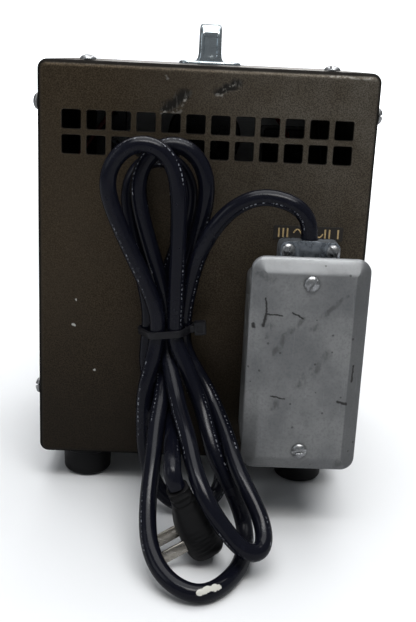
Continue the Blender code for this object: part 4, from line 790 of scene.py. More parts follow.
def build_cabinet(paint):
    """The wrap-round cabinet: walls, a front lip, and a tongue that slides inside the rear cover."""
    tongue, front = CABINET[0].y, CABINET[1].y
    outset = COVER_SHEET + 0.3
    fold = 2.5
    lip = 14.0
    start = SEAM_Y + SEAM_GAP
    step = SEAM_Y + 8
    lip_back = front - CABINET_SHEET
    profile = [(outset, tongue), (outset, start), (0.35, start), (0.0, start + 0.35)]
    profile += arc((fold, front - fold), fold, 180, 90, 6)
    profile += [(lip - 0.3, front), (lip, front - 0.3), (lip, lip_back), (CABINET_SHEET, lip_back)]
    profile += [(CABINET_SHEET, step), (outset + CABINET_SHEET, step), (outset + CABINET_SHEET, tongue)]
    cabinet = case_shell("cabinet_shell", "cabinet", profile, paint, closed=True)
    cuts = screw_holes()
    for foot in FEET:
        bore(cuts, foot, "Z", 4.3, BOTTOM_Z - 3, BOTTOM_Z + 6, 24)
    for screw in HANDLE_SCREWS:
        bore(cuts, screw, "Z", 2.7, TOP_Z - 5, TOP_Z + 3)
    for screw in PANEL_SCREWS:
        bore(cuts, screw, "Y", SCREW_HOLE_R, front - 6, front + 3)
    carve(cabinet, cuts)


def build_feet(rubber):
    """Push-in rubber feet, slightly tapered, with a moulded step near the top."""
    top = BOTTOM_Z - 0.3
    for foot in FEET:
        at = middle(foot)
        radius = halves(foot)[0]
        stem = span(foot)[1].z
        profile = [(0, stem), (3.0, stem), (3.6, stem - 0.3), (5.6, top + 4.1), (5.6, top + 3.8)]
        profile += [(4.0, top + 3.8), (4.0, top), (radius - 0.9, top), (radius, top - 0.8)]
        profile += [(radius, top - 3.0), (radius - 0.6, top - 3.5)]
        profile += arc((radius - 3.6, 3.4), 2.6, 10, -60, 5)
        profile += [(radius - 4.6, 0.4), (radius - 5.4, 0.0), (4.0, 0.0), (3.4, 1.2), (0, 1.2)]
        pad = turned(profile, along_z(at.x, at.y), 56)
        piece(f"{foot}_rubber", pad, rubber, replaces=(foot,))


def handle_side():
    """The handle's outer and inner edges as matching (Y, Z) points over the arch, and where they start."""
    low, high = span("handle")
    base = low.z + 0.5
    leg = high.y - 2.0
    top = high.z
    outer = [(leg, z) for z in np.linspace(base, base + 3.5, 5)[:-1]]
    outer += [(leg - 0.12 * k, base + 3.5 + 1.75 * k) for k in range(5)]
    outer += arc((leg - 9.0, top - 8.0), 8.0, 4, 90, 12)
    inner = [(leg - 15.0 - 0.05 * k, z) for k, z in enumerate(np.linspace(base, base + 7.5, 9))]
    inner += arc((leg - 20.5, top - 12.5), 5.0, 4, 90, 12)
    flat = np.linspace(1, -1, 14)[1:-1]
    edges = []
    for edge, reach, height in ((outer, leg - 9.0, top), (inner, leg - 20.5, top - 7.5)):
        edges.append(edge + [(reach * s, height) for s in flat] + [(-y, z) for y, z in reversed(edge)])
    return edges, base


def build_handle(metal):
    """A cast bridge handle: an arch with a sunk panel down each end, flaring into two foot plates."""
    (outer, inner), base = handle_side()
    half_w = 5.65
    corner = 5
    rings = []
    for (oy, oz), (iy, iz) in zip(outer, inner):
        out = Vector((0.0, oy, oz))
        into = Vector((0.0, iy, iz))
        across = (out - into).normalized()
        thick = (out - into).length
        flare = 3.2 * math.exp(-(min(oz, iz) - base) / 1.5)
        sunk = 0.9 * fade(oz - base, 2.5, 4.5) * (1 - fade(oz - base, 13.0, 15.5))
        section = [(a, thick / 2 + b) for a, b in rounded(half_w + flare, thick / 2, 1.9, corner)]
        panel = [(3.6, 0.0), (3.1, -sunk), (-3.1, -sunk), (-3.6, 0.0)]
        section[corner + 1:corner + 1] = [(a, thick + b) for a, b in panel]
        rings.append([into + across * b + Vector((a, 0, 0)) for a, b in section])
    bm = bmesh.new()
    skin(bm, rings)
    handle = piece("handle_casting", bm, metal, replaces=("handle",), sharp=32)
    plates = bmesh.new()
    low, high = span("handle")
    profile = [(0.0, low.z), (0.0, low.z + 0.8), (0.25, low.z + 1.3), (0.8, low.z + 1.6)]
    for side in (-1, 1):
        plate_y = side * (high.y - 10.0)
        stack(plates, profile, halves("handle")[0], 10.0, 5.0, along_z(0, plate_y), corner=8)
    carve(handle, plates, union=True)


AXES = {"X": Vector((1, 0, 0)), "Y": Vector((0, 1, 0)), "Z": Vector((0, 0, 1))}
CASE_HEAD = (4.1, 2.6, 1.9)
BOX_HEAD = (3.7, 1.9, 1.9)
CLAMP_HEAD = (3.3, 2.0, 1.5)


def build_screw(node, axis, turn, sizes, metal):
    """A slotted round-head screw in a CAD screw's place; axis points out of the head."""
    head_r, head_h, shank_r = sizes
    low, high = span(node)
    out = AXES[axis[-1]] * (-1 if axis.startswith("-") else 1)
    length = abs((high - low).dot(out))
    tip = (low + high) / 2 - out * length / 2
    side = AXES["X" if axis[-1] == "Z" else "Z"]
    a_axis = side * math.cos(math.radians(turn)) + out.cross(side) * math.sin(math.radians(turn))
    b_axis = out.cross(a_axis)

    def to_point(a, b, depth):
        return tip + a_axis * a + b_axis * b + out * depth

    head = length - head_h
    profile = [(0, 0), (shank_r - 0.4, 0), (shank_r, 0.5), (shank_r, head), (head_r - 0.25, head)]
    profile.append((head_r, head + 0.3))
    for degrees in range(12, 91, 13):
        t = math.radians(degrees)
        profile.append((head_r * math.cos(t), head + 0.3 + (head_h - 0.3) * math.sin(t)))
    profile.append((0, length))
    screw = piece(f"{node}_slotted", turned(profile, to_point, 40), metal, replaces=(node,))
    slot_half = head_r * 0.16
    slot_floor = length - head_h * 0.62
    slot_end = (head_r + 1, slot_half, length + 1)
    carve(screw, block(bmesh.new(), (-head_r - 1, -slot_half, slot_floor), slot_end, to_point))
    ease_edges(screw, 0.12, 1, 55)


def build_case_screws(metal):
    axes = {"top": "Z", "left": "-X", "right": "X"}
    for k, label in enumerate(COVER_SCREWS):
        build_screw(f"cover_screw_{label}", axes[label.split("_")[0]], 25 + 47 * k, CASE_HEAD, metal)
    for k, node in enumerate(PANEL_SCREWS):
        build_screw(node, "Y", 10 + 65 * k, CASE_HEAD, metal)


def build_screw_pair(nodes, turns, sizes, metal):
    """Two screws whose heads face the rear."""
    for node, turn in zip(nodes, turns):
        build_screw(node, "-Y", turn, sizes, metal)


def build_label(dark, gold):
    """A small dark plate with a plain wave and bars in gold in place of lettering."""
    back = span("voltage_label")[1].y
    face = back - 0.3
    at = middle("voltage_label")
    half_w, _, half_h = halves("voltage_label")
    profile = [(0, back), (0, face + 0.05), (0.05, face)]
    plate = lofted(profile, half_w, half_h, 0.8, along_y(at.x, at.z))
    piece("voltage_plate", plate, dark, replaces=("voltage_label",))
    marks = bmesh.new()
    for offset in (-15.0, -12.8, -10.6, 8.6, 10.8, 15.2):
        x = at.x + offset
        block(marks, (x - 0.4, face - 0.06, at.z - 2.3), (x + 0.4, face + 0.1, at.z + 2.3))
    wave = [(at.x - 7.5 + 0.25 * k, face, at.z + 1.9 * math.sin(math.pi * k / 15)) for k in range(61)]
    tube(marks, wave, 0.36, 8)
    piece("voltage_marks", marks, gold)


# ---------------------------------------------------------------- terminal box

CLAMP_Y = span("clamp_saddle")[1].y + 0.3
BOX_TOP_Z = middle("box_screw_upper").z - 3.3
BOX_SHEET = 1.6


def build_terminal_box(grey):
    """The drawn steel box on the rear cover, with stamped knockouts in its sides."""
    low, high = span("terminal_box")
    ear_z = high.z
    high.z = BOX_TOP_Z
    centre = (low + high) / 2
    fold = 2.0
    back = high.y
    profile = arc((fold, back - fold), fold - BOX_SHEET, 90, 180, 3)
    profile += [(BOX_SHEET, low.y), (0.3, low.y), (0.0, low.y + 0.3)]
    profile += arc((fold, back - fold), fold, 180, 90, 6)
    half_w = (high.x - low.x) / 2
    half_h = (high.z - low.z) / 2
    shell = lofted(profile, half_w, half_h, 5.0, along_y(centre.x, centre.z), corner=8)
    box = piece("terminal_box_shell", shell, grey, replaces=("terminal_box",), flat_first=True)
    ears = bmesh.new()
    ear_y = low.y + 1.4
    for bottom, top in ((low.z + BOX_SHEET / 2, low.z + 15.0), (high.z - 5.0, ear_z)):
        place = along_y(centre.x, (bottom + top) / 2)
        stack(ears, eased(0.2, ear_y - 1.0, ear_y + 1.0), 7.0, (top - bottom) / 2, 1.5, place)
    carve(box, ears, union=True)
    cuts = bmesh.new()
    for node in BOX_SCREWS:
        bore(cuts, node, "Y", SCREW_HOLE_R, low.y - 2, low.y + 5)
    bore(cuts, "box_nipple", "Y", NIPPLE_HOLE_R, back - 5, back + 5, 32)
    lathe(cuts, [(NIPPLE_HOLE_R, high.z - 5), (NIPPLE_HOLE_R, high.z + 5)], along_z(centre.x, CLAMP_Y), 32)
    groove = [(9.9, -0.45), (10.5, -0.45), (10.5, 1.0), (9.9, 1.0)]
    knockout_y = centre.y + 2
    for z in (centre.z - 24, centre.z + 24):
        for wall, sign in ((high.x, 1), (low.x, -1)):
            ring = [(r, wall + sign * d) for r, d in groove]
            lathe(cuts, ring, along_x(knockout_y, z), 40, closed=True)
    lathe(cuts, [(r, low.z - d) for r, d in groove], along_z(centre.x, knockout_y), 40, closed=True)
    carve(box, cuts)


def build_box_cover(grey):
    """The stamped cover: a short rim, a sloping band and a flat centre that isn't quite flat any more."""
    front, back = BOX_COVER[0].y, BOX_COVER[1].y
    half_w, _, half_h = halves("box_cover")
    at = middle("box_cover")
    behind = front + BOX_SHEET
    fine = 26
    inside = [(20.0, behind), (9.0, behind), (7.8, behind + 0.1), (2.4, behind + 2.7)]
    inside += [(BOX_SHEET, behind + 3.4)]
    rim = [(BOX_SHEET, back - 0.2), (BOX_SHEET - 0.3, back), (0.35, back), (0.0, back - 0.35)]
    outside = (
        (0.0, 4.5), (0.1, 4.0), (0.4, 3.5), (0.95, 3.1), (2.4, 2.35), (4.2, 1.42), (5.5, 0.76), (6.2, 0.42),
        (6.8, 0.18), (7.3, 0.05), (7.9, 0.0), *((9.0 + 1.2 * k, 0.0) for k in range(15)),
    )
    profile = inside + rim + [(inset, front + depth) for inset, depth in outside]
    place = along_y(at.x, at.z)
    bm = lofted(profile, half_w, half_h, 6.5, place, corner=8, splits=(fine, 2 * fine))
    for vert in bm.verts:
        if vert.co.y < front + 3.5:
            push = 0.16 * noise.noise(vert.co * 0.055) + 0.07 * noise.noise(vert.co * 0.21)
            vert.co.y += max(push + 0.05, -0.2)
    cover = piece("box_cover_stamping", bm, grey, replaces=("box_cover",), sharp=50)
    cuts = bmesh.new()
    for node in BOX_SCREWS:
        bore(cuts, node, "Y", 2.3, front - 3, front + 6, 24)
    carve(cover, cuts)


def prism(bm, outline, low_z, high_z):
    """An outline in X and Y, pulled up in Z."""
    skin(bm, [[Vector((x, y, z)) for x, y in outline] for z in (low_z, high_z)])


EAR_R = 3.6
CLAMP_FALL = 5.0
CORD_BORE = 4.5
CLAMP_THREAD_R = 1.8


def round_ears(obj, x, half_w, top, low_y, high_y):
    """Rounds a clamp piece's two upper corners, as seen from the rear."""
    cuts = bmesh.new()
    corner = [(half_w + 2, top + 2), (half_w - EAR_R, top + 2)]
    corner += arc((half_w - EAR_R, top - EAR_R), EAR_R, 90, 0, 8)
    corner += [(half_w + 2, top - EAR_R)]
    for side in (-1, 1):
        skin(cuts, [[Vector((x + side * a, y, z)) for a, z in corner] for y in (low_y - 2, high_y + 2)])
    carve(obj, cuts)


def clamp_half(name, node, outline, x, y, low_z, high_z, metal):
    """One half of the grip: an outline about the cord's axis, pulled up."""
    bm = bmesh.new()
    prism(bm, [(x + a, y + b) for a, b in outline], low_z, high_z)
    return piece(name, bm, metal, replaces=(node,))


def clamp_bores(obj, low, high):
    cuts = bmesh.new()
    for node in CLAMP_SCREWS:
        bore(cuts, node, "Y", CLAMP_THREAD_R, low, high)
    carve(obj, cuts)


def build_clamp(metal):
    """The two-screw cord grip: a body with its neck through the box's top, and a loose jaw at the rear."""
    low, high = span("clamp_saddle")
    x = (low.x + high.x) / 2
    y = high.y + 0.3
    half_w = (high.x - low.x) / 2
    front = low.y - y
    jaw = [(-half_w, -0.3), (-half_w, front + 1.8)]
    jaw += arc((-half_w + 1.8, front + 1.8), 1.8, 200, 270, 4)
    jaw += [(-7.4, front)]
    jaw += [(-7.0 + 0.7 * k, front + 1.5 * fade(k, 0, 3)) for k in range(1, 4)]
    jaw += [(-v, w) for v, w in reversed(jaw)]
    gap = math.degrees(math.asin(0.3 / CORD_BORE))
    jaw += arc((0, 0), CORD_BORE, -gap, -180 + gap, 14)
    saddle = clamp_half("clamp_jaw", "clamp_saddle", jaw, x, y, low.z, high.z, metal)
    clamp_bores(saddle, low.y - 2, high.y + 3)
    round_ears(saddle, x, half_w, high.z, low.y, high.y)
    ease_edges(saddle, 0.8, 3, 60)

    low, high = span("clamp_body")
    depth = high.y - y
    neck_r = 10.2
    flange_r = 11.3
    flange_top = BOX_TOP_Z + 2.3
    flange_low = flange_top - 2.0
    back = [(half_w, 0.3), (half_w, depth - 3.0)]
    back += arc((half_w - 3.0, depth - 3.0), 3.0, 10, 90, 5)
    back += [(-v, w) for v, w in reversed(back)]
    back += arc((0, 0), CORD_BORE, 180 - gap, gap, 14)
    grip = clamp_half("clamp_casting", "clamp_body", back, x, y, flange_top - 1.0, high.z, metal)
    profile = [(CORD_BORE, flange_top), (flange_r - 0.5, flange_top), (flange_r, flange_top - 0.5)]
    profile += [(flange_r, flange_low), (neck_r, flange_low), (neck_r, low.z), (CORD_BORE, low.z)]
    carve(grip, turned(profile, along_z(x, y), 56, closed=True), union=True)
    clamp_bores(grip, y - 2, y + 5.5)
    round_ears(grip, x, half_w, high.z, y, high.y)
    fall = bmesh.new()
    slope = [(y + 1.5, high.z), (high.y + 1.0, high.z - CLAMP_FALL)]
    slope += [(high.y + 1.0, high.z + 1.0), (y + 1.5, high.z + 1.0)]
    skin(fall, [[Vector((x + side * (half_w + 2.0), a, z)) for a, z in slope] for side in (-1, 1)])
    carve(grip, fall)
    ease_edges(grip, 0.4, 2, 45)


# ---------------------------------------------------------------- mains cord

BOX_X = (BOX_COVER[0].x + BOX_COVER[1].x) / 2
BOX_W = BOX_COVER[1].x - BOX_COVER[0].x
BOX_Z = (BOX_COVER[0].z + BOX_COVER[1].z) / 2
BOX_H = BOX_COVER[1].z - BOX_COVER[0].z
CORD_R = 4.05
CORD_GAP = 8.8
CORD_STEP = 5.0
ROOM = 0.5
NEIGHBOUR = 22
SETTLE_ROUNDS = 400
CALM_SHARE = 0.8
CALM_STEP = 0.6
CALM_KEEP = 0.985
PUSH_STEP = 0.9
TIE = np.array((-16.8, -88.7, 95.7))
TIE_PITCH = 8.7
TIE_ROW = TIE_PITCH * math.sqrt(3) / 2
TIE_BAND_H = 3.8
TIE_BAND_T = 1.1
TIE_TILT = 6.0
SLOTS = {
    "left": (-TIE_PITCH, 0.0),
    "middle": (0.0, 0.0),
    "right": (TIE_PITCH, 0.0),
    "outer_left": (-TIE_PITCH / 2, -TIE_ROW),
    "outer_right": (TIE_PITCH / 2, -TIE_ROW),
    "inner_left": (-TIE_PITCH / 2, TIE_ROW),
    "inner_right": (TIE_PITCH / 2, TIE_ROW),
}
PLUG_CENTRE = Vector((2.0, -149.0, 16.5))
PLUG_BLADES = Vector((-0.87, -0.24, -0.43))
PLUG_CORD = Vector((-0.40, -0.19, 0.89))
PLUG_NECK = 26.0
BLADE_PITCH = 12.7
BLADE_W = 6.35
BLADE_T = 1.5
BLADE_L = 15.9
PRINT_TURN = 0.12
CORD_PAINT = (
    ((3.6, -186.6, 8.2), (12.6, -181.9, 8.6), 1.9),
    ((22.0, -172.5, 16.5), (22.8, -171.8, 16.0), 1.0),
)


def plug_frame():
    """The plug's axes: blade direction, blade spacing and cord direction, with its centre."""
    blades = PLUG_BLADES.normalized()
    cord = (PLUG_CORD - PLUG_CORD.dot(blades) * blades).normalized()
    across = cord.cross(blades)
    return blades, across, cord


def through_tie(slot, downwards):
    """Three points where a strand runs straight through the cable tie."""
    x, y = SLOTS[slot]
    heights = (9.0, 0.0, -9.0) if downwards else (-9.0, 0.0, 9.0)
    return [(TIE[0] + x, TIE[1] + y, TIE[2] + z) for z in heights]


def crest(centre, half_width, rise, start_side):
    """The round top of an upper loop, entered from the left (-1) or the right (+1)."""
    points = []
    for degrees in range(0, 181, 36):
        angle = math.radians(degrees)
        x = centre[0] + start_side * half_width * math.cos(angle)
        points.append((x, centre[1], centre[2] + rise * math.sin(angle)))
    return points


def cord_waypoints():
    """The cord's course from the terminal box to the plug, as bends between passes of the tie."""
    cord_axis = plug_frame()[2]
    neck_top = PLUG_CENTRE + cord_axis * (PLUG_NECK + 0.6)
    above_neck = neck_top + cord_axis * 7.0
    entry = [(BOX_X, CLAMP_Y, z) for z in (136.0, 144.0, 152.5)]
    arch = [
        (47.5, -105, 160), (37, -104, 165.5), (26, -102, 166.5), (14, -101, 161), (4, -99, 149),
        (-3, -95, 133),
    ]
    near_loop = [
        (6, -98, 64), (14, -117, 50), (23, -138, 36), (32, -152, 22), (32, -162, 14),
        (25, -168, 15), (17, -165, 21), (5, -160, 35), (-5, -143, 50), (-12, -108, 67),
    ]
    case_loop = [
        (4, -84, 49), (15, -92, 24), (13, -97, 8), (-1, -106, 5), (-15, -104, 10), (-24, -101, 29),
        (-25, -98, 52),
    ]
    far_loop = [
        (3, -108, 61), (12, -124, 45), (20, -130, 28), (26, -133, 10), (25, -148, 5), (17, -171, 5),
        (3, -184.5, 5), (-11, -178, 8), (-19, -165, 15), (-21, -149, 27), (-19, -132, 42), (-16, -110, 58),
    ]
    tail = [(-21, -96, 66), (-15, -112, 58), (-11, -132, 55), (-10, -149, 51), above_neck, neck_top]
    course = entry + arch
    course += through_tie("right", True) + near_loop + through_tie("middle", False)
    course += crest((-16.2, -90, 166), 16.9, 22.5, -1)
    course += through_tie("inner_right", True) + case_loop + through_tie("outer_left", False)
    course += crest((-30.3, -98.5, 168), 17.0, 21, -1)
    course += through_tie("outer_right", True) + far_loop + through_tie("inner_left", False)
    course += crest((-22.7, -80.4, 162), 15.5, 18.5, 1)
    course += through_tie("left", True) + tail
    return [np.array(tuple(point), float) for point in course]


def evenly_spaced(course, spacing):
    lengths = np.concatenate(([0.0], np.cumsum(np.linalg.norm(np.diff(course, axis=0), axis=1))))
    count = int(round(lengths[-1] / spacing))
    stations = np.linspace(0.0, lengths[-1], count + 1)
    return np.stack([np.interp(stations, lengths, course[:, k]) for k in range(3)], axis=1)


def plug_clearances():
    """Spheres (centre, radius) that stand for the plug where the cord's own loops pass it."""
    blades, across, cord = plug_frame()
    spheres = [(PLUG_CENTRE, 13.0), (PLUG_CENTRE + 12.0 * cord, 9.0), (PLUG_CENTRE + 20.0 * cord, 6.5)]
    for side in (-1, 1):
        for reach in (14.0, 19.0, 24.0):
            spheres.append((PLUG_CENTRE + reach * blades + side * BLADE_PITCH / 2 * across, 3.4))
    return [(np.array(centre), radius) for centre, radius in spheres]


def settled(course):
    """Pushes touching strands apart, off the case, box, plug and table, and keeps the rest of the shape."""
    spheres = plug_clearances()
    box_left = BOX_X - BOX_W / 2 - CORD_R - ROOM
    count = len(course)
    index = np.arange(count)
    apart = np.abs(index[:, None] - index[None]) > int(NEIGHBOUR / CORD_STEP)
    near_tie = np.abs(course - TIE)
    in_tie = (near_tie[:, 2] < 8.5) & (near_tie[:, 0] < 14) & (course[:, 1] > TIE[1] - 8.8)
    held = in_tie | (index < 4) | (index >= count - 2)
    beside_plug = ~held & (index < count - 8)
    now = course.copy()
    for step in range(SETTLE_ROUNDS):
        if step < SETTLE_ROUNDS * CALM_SHARE:
            shift = now - course
            calmed = shift.copy()
            calmed[1:-1] += CALM_STEP * ((shift[:-2] + shift[2:]) / 2 - shift[1:-1])
            calmed *= CALM_KEEP
            calmed[held] = 0.0
            now = course + calmed
        offset = now[:, None] - now[None]
        distance = np.sqrt((offset**2).sum(2)) + 1e-9
        push = np.where(apart & (distance < CORD_GAP), (CORD_GAP - distance) / distance * 0.5, 0.0)
        contacts = np.maximum((push > 0).sum(1), 1)[:, None]
        move = (offset * push[:, :, None]).sum(1) / np.sqrt(contacts)
        move[held] = 0.0
        now = now + PUSH_STEP * move
        beside_case = (now[:, 2] > BOTTOM_Z - 2.0) & ~held
        now[:, 1] = np.where(beside_case, np.minimum(now[:, 1], REAR_Y - CORD_R - ROOM), now[:, 1])
        level_with_box = np.abs(now[:, 2] - BOX_Z) < BOX_H / 2 + CORD_R
        beside_box = level_with_box & (now[:, 1] > BOX_COVER[0].y - CORD_R - ROOM)
        now[:, 0] = np.where(beside_box & ~held, np.minimum(now[:, 0], box_left), now[:, 0])
        for centre, radius in spheres:
            away = now - centre
            distance = np.linalg.norm(away, axis=1)
            clear = radius + CORD_R + 0.6
            inside = beside_plug & (distance < clear)
            now[inside] += away[inside] / distance[inside, None] * (clear - distance[inside, None])
        now[:, 2] = np.maximum(now[:, 2], CORD_R + 0.45)
    return now


def build_cord(jacket):
    """The supply cord, from the terminal box through its bundled loops to the plug."""
    course = settled(evenly_spaced(smooth_course(cord_waypoints(), 12), CORD_STEP))
    for _ in range(2):
        course[1:-1] += 0.5 * ((course[:-2] + course[2:]) / 2 - course[1:-1])
    path = evenly_spaced(smooth_course([Vector(p) for p in course], 3), 1.7)
    round_cord = tube(bmesh.new(), path, CORD_R, 28, length_uv=True)
    piece("cord_jacket", round_cord, jacket, replaces=("cord",), sharp=60)


def tie_outline(radius, steps):
    """The tie's hexagon with round corners, about the seven strands."""
    outline = []
    for k in range(6):
        turn = math.radians(60 * k)
        corner = (TIE_PITCH * math.cos(turn), TIE_PITCH * math.sin(turn))
        outline += arc(corner, radius, 60 * k - 30, 60 * k + 30, steps)
    return outline


def build_cord_tie(nylon):
    """The strap round the seven strands, its ratchet head and the clipped tail."""
    inner = CORD_R + 0.7
    edge = TIE_PITCH + inner
    half = TIE_BAND_H / 2
    place = Matrix.Translation(Vector(TIE)) @ Matrix.Rotation(math.radians(-TIE_TILT), 4, "Y")

    def beside(out, up):
        return lambda a, b, depth: place @ Vector((edge + out + a, depth, up + b))

    rings = []
    outside, inside = tie_outline(inner + TIE_BAND_T, 8), tie_outline(inner, 8)
    for outline, heights in ((outside, (half - 0.35, -half + 0.35)), (inside, (-half, half))):
        for height in heights:
            rings.append([place @ Vector((x, y, height)) for x, y in outline])
    bm = bmesh.new()
    skin(bm, rings, closed=True)
    strap = piece("cord_tie_strap", bm, nylon, replaces=("cord_tie",))
    profile = [(0.6, -6.4), (0.2, -6.25), (0.0, -5.8), (0.0, -1.8), (0.2, -1.35), (0.6, -1.2)]
    carve(strap, lofted(profile, 3.05, 3.4, 1.0, beside(3.55, 0.2), corner=4), union=True)
    profile = [(0.25, -6.0), (0.0, -5.8), (0.0, -5.1), (0.25, -4.9)]
    carve(strap, lofted(profile, 2.6, 1.6, 0.3, beside(-1.4, 0.0), corner=2), union=True)
    profile = [(0.0, -7.0), (0.0, -5.6)]
    carve(strap, lofted(profile, 1.5, 1.7, 0.3, beside(3.3, 0.2), corner=2))
    ease_edges(strap, 0.15, 2, 50)


def ripple(distance, pitch):
    """Zero at every pitch and one halfway between."""
    return 0.5 - 0.5 * math.cos(2 * math.pi * distance / pitch)


def build_plug(rubber, metal):
    """A moulded two-blade plug with finger ridges and a ribbed neck."""
    sections = (
        (-12.4, 4.5, 5.0), (-11.2, 7.6, 8.6), (-7.0, 9.0, 11.4), (0.0, 9.0, 12.3), (6.0, 8.8, 11.4),
        (12.0, 7.4, 8.6), (17.0, 5.9, 6.2), (PLUG_NECK, 5.2, 5.2),
    )
    neck_low = sections[-2][0]
    blades, across, cord = plug_frame()

    def beside(side, reach=0.0):
        """Lays out (along the blades, along the cord, between the blades) about one blade's own axis."""
        offset = side * BLADE_PITCH / 2
        return lambda a, b, depth: PLUG_CENTRE + blades * (reach + a) + across * (offset + depth) + cord * b

    body_point = beside(0)

    rings = []
    for height, half_x, half_y in smooth_course(sections, 10):
        ridge = 0.35 * ripple(height + 6.0, 2.25) if -6.0 < height < 7.5 else 0.0
        groove = 0.55 * ripple(height - neck_low, 3.0) if height > neck_low else 0.0
        ring = []
        for c, s in round_steps(64):
            x = (half_x - groove) * math.copysign(abs(c) ** 0.7, c)
            y = (half_y - groove) * math.copysign(abs(s) ** 0.7, s)
            y -= ridge * math.copysign(fade(abs(s), 0.75, 0.95), s)
            ring.append(body_point(x, height, y))
        rings.append(ring)
    bm = bmesh.new()
    skin(bm, rings)
    body = piece("plug_moulding", bm, rubber, replaces=("plug_body",), sharp=50)
    slots = bmesh.new()
    root = 5.0
    half_t = BLADE_T / 2
    slot_w = BLADE_W / 2 + 0.25
    slot_t = half_t + 0.25
    for side in (-1, 1):
        block(slots, (root - 0.3, -slot_w, -slot_t), (20.0, slot_w, slot_t), beside(side))
    carve(body, slots)
    tip = 9.0 + BLADE_L
    half_l = (tip - root) / 2
    profile = [(0.4, -half_t), (0.12, -half_t + 0.12), (0.0, -half_t + 0.4)]
    profile += [(inset, -depth) for inset, depth in reversed(profile)]
    for label, side in (("far", -1), ("near", 1)):
        flat = lofted(profile, half_l, BLADE_W / 2, 1.0, beside(side, (root + tip) / 2), corner=5)
        blade = piece(f"plug_blade_{label}_flat", flat, metal, replaces=(f"plug_blade_{label}",))
        carve(blade, turned([(1.6, -2.0), (1.6, 2.0)], beside(side, tip - 3.2), 28))


# ---------------------------------------------------------------- front

PANEL_FACE = FRONT_Y + 0.3
DIAL_START = -160.0
DIAL_SWEEP = 320.0
SCALE_START = -45.0
SCALE_SWEEP = 90.0


def text_marks(bm, words, size, x, z, y):
    """Flat raised figures on a front-facing surface; they read from in front of the panel."""
    curve = bpy.data.curves.new("figures", "FONT")
    curve.body = words
    curve.size = size
    curve.align_x = "CENTER"
    curve.align_y = "CENTER"
    curve.extrude = 0.03
    curve.resolution_u = 4
    obj = add_object("figures", curve)
    bpy.context.view_layer.update()
    mesh = bpy.data.meshes.new_from_object(obj.evaluated_get(bpy.context.evaluated_depsgraph_get()))
    for vert in mesh.vertices:
        a, b, depth = vert.co
        vert.co = (x - a, y + depth + 0.03, z + b)
    extra = bmesh.new()
    extra.from_mesh(mesh)
    bmesh.ops.remove_doubles(extra, verts=extra.verts, dist=1e-5)
    extra.to_mesh(mesh)
    extra.free()
    bm.from_mesh(mesh)
    bpy.data.objects.remove(obj)
    bpy.data.curves.remove(curve)
    bpy.data.meshes.remove(mesh)


def front_turn(degrees):
    """The way out from a centre, clockwise from the top for someone in front, and the way across it."""
    turn = math.radians(degrees)
    return Vector((-math.sin(turn), 0, math.cos(turn))), Vector((math.cos(turn), 0, math.sin(turn)))


def tick(bm, x, z, degrees, inner, outer, half_w, y):
    """A raised radial mark."""
    out, side = front_turn(degrees)
    base = Vector((x, 0, z))

    def to_point(a, depth, r):
        return base + side * a + out * r + Vector((0, y + depth, 0))

    block(bm, (-half_w, -0.02, inner), (half_w, 0.07, outer), to_point)


def build_front_panel(sheet):
    """The panel, with openings for everything that is mounted through it."""
    low, high = PANEL
    half_w, _, half_h = halves("front_panel")
    place = along_y(0, (low.z + high.z) / 2)
    slab = lofted(eased(0.3, low.y, high.y), half_w, half_h, 5.0, place, corner=8)
    panel = piece("front_panel_sheet", slab, sheet, replaces=("front_panel",), flat_first=True)
    cuts = bmesh.new()
    through = (low.y - 2, high.y + 2)
    lathe(cuts, [(8.3, y) for y in through], along_y(0.0, AXIS_Z))
    lathe(cuts, [(23.3, y) for y in through], along_y(0.0, middle("meter_case").z))
    for node in ("switch_body", "lamp_holder", "fuse_holder"):
        bore(cuts, node, "Y", 6.4, *through, 48)
    for node in PANEL_SCREWS:
        bore(cuts, node, "Y", SCREW_HOLE_R, *through, 48)
    outlet = middle("output_receptacle")
    stack(cuts, [(0, y) for y in through], 15.0, 11.5, 2.0, along_y(outlet.x, outlet.z))
    carve(panel, cuts)


KNOB_FLUTES = 9
KNOB_PROFILE = (
    (0, 101), (16.2, 101), (17.0, 100.85), (17.8, 100.3), (18.2, 99.4), (18.6, 92.0), (19.0, 85.5),
    (20.6, 83.4), (22.6, 81.8), (25.0, 80.8), (25.7, 80.4), (26.0, 79.8), (26, 78.8), (25.7, 78.3),
    (11.5, 78.3), (11.5, 79.5), (0, 79.5),
)


def bar(bm, base, out, side, sections):
    """A straight bar through (reach, half width, low depth, high depth, Y) sections."""
    rings = []
    for reach, half_w, low, high, y in sections:
        corners = ((-half_w, low), (half_w, low), (half_w, high), (-half_w, high))
        rings.append([base + out * reach + side * a + Vector((0, y + d, 0)) for a, d in corners])
    skin(bm, rings)
    return bm


def build_knob(black, white):
    """The fluted skirted knob with a filled pointer line."""
    axis = along_y(0, AXIS_Z)
    knob = piece("knob_moulding", turned(KNOB_PROFILE, axis, 120), black, "rotor", ("knob",), sharp=28)
    cuts = bmesh.new()
    flute = [(4.0, 85.5 - 1.4), (4.0, 99.5), (4.5, 100.4), (5.4, 101.5)]
    for k in range(KNOB_FLUTES):
        out = front_turn(DIAL_START + 360 / KNOB_FLUTES * (k + 0.5))[0] * 21.6
        lathe(cuts, flute, along_y(out.x, AXIS_Z + out.z), 32)
    lathe(cuts, [(5.06, 77), (5.06, 96.3)], axis, 32)
    carve(knob, cuts)
    ease_edges(knob, 0.3, 2, 40)
    line = bmesh.new()
    tick(line, 0.0, AXIS_Z, DIAL_START, 4.0, 16.4, 0.75, 101.0)
    piece("knob_pointer", line, white, "rotor")
    out, side = front_turn(DIAL_START)
    skirt = [(r, 0.75, -0.3, 0.04, y) for r, y in ((20.7, 83.45), (22.6, 81.95), (25.0, 80.95), (25.8, 80.5))]
    piece("knob_skirt_line", bar(bmesh.new(), Vector((0, 0, AXIS_Z)), out, side, skirt), white, "rotor")


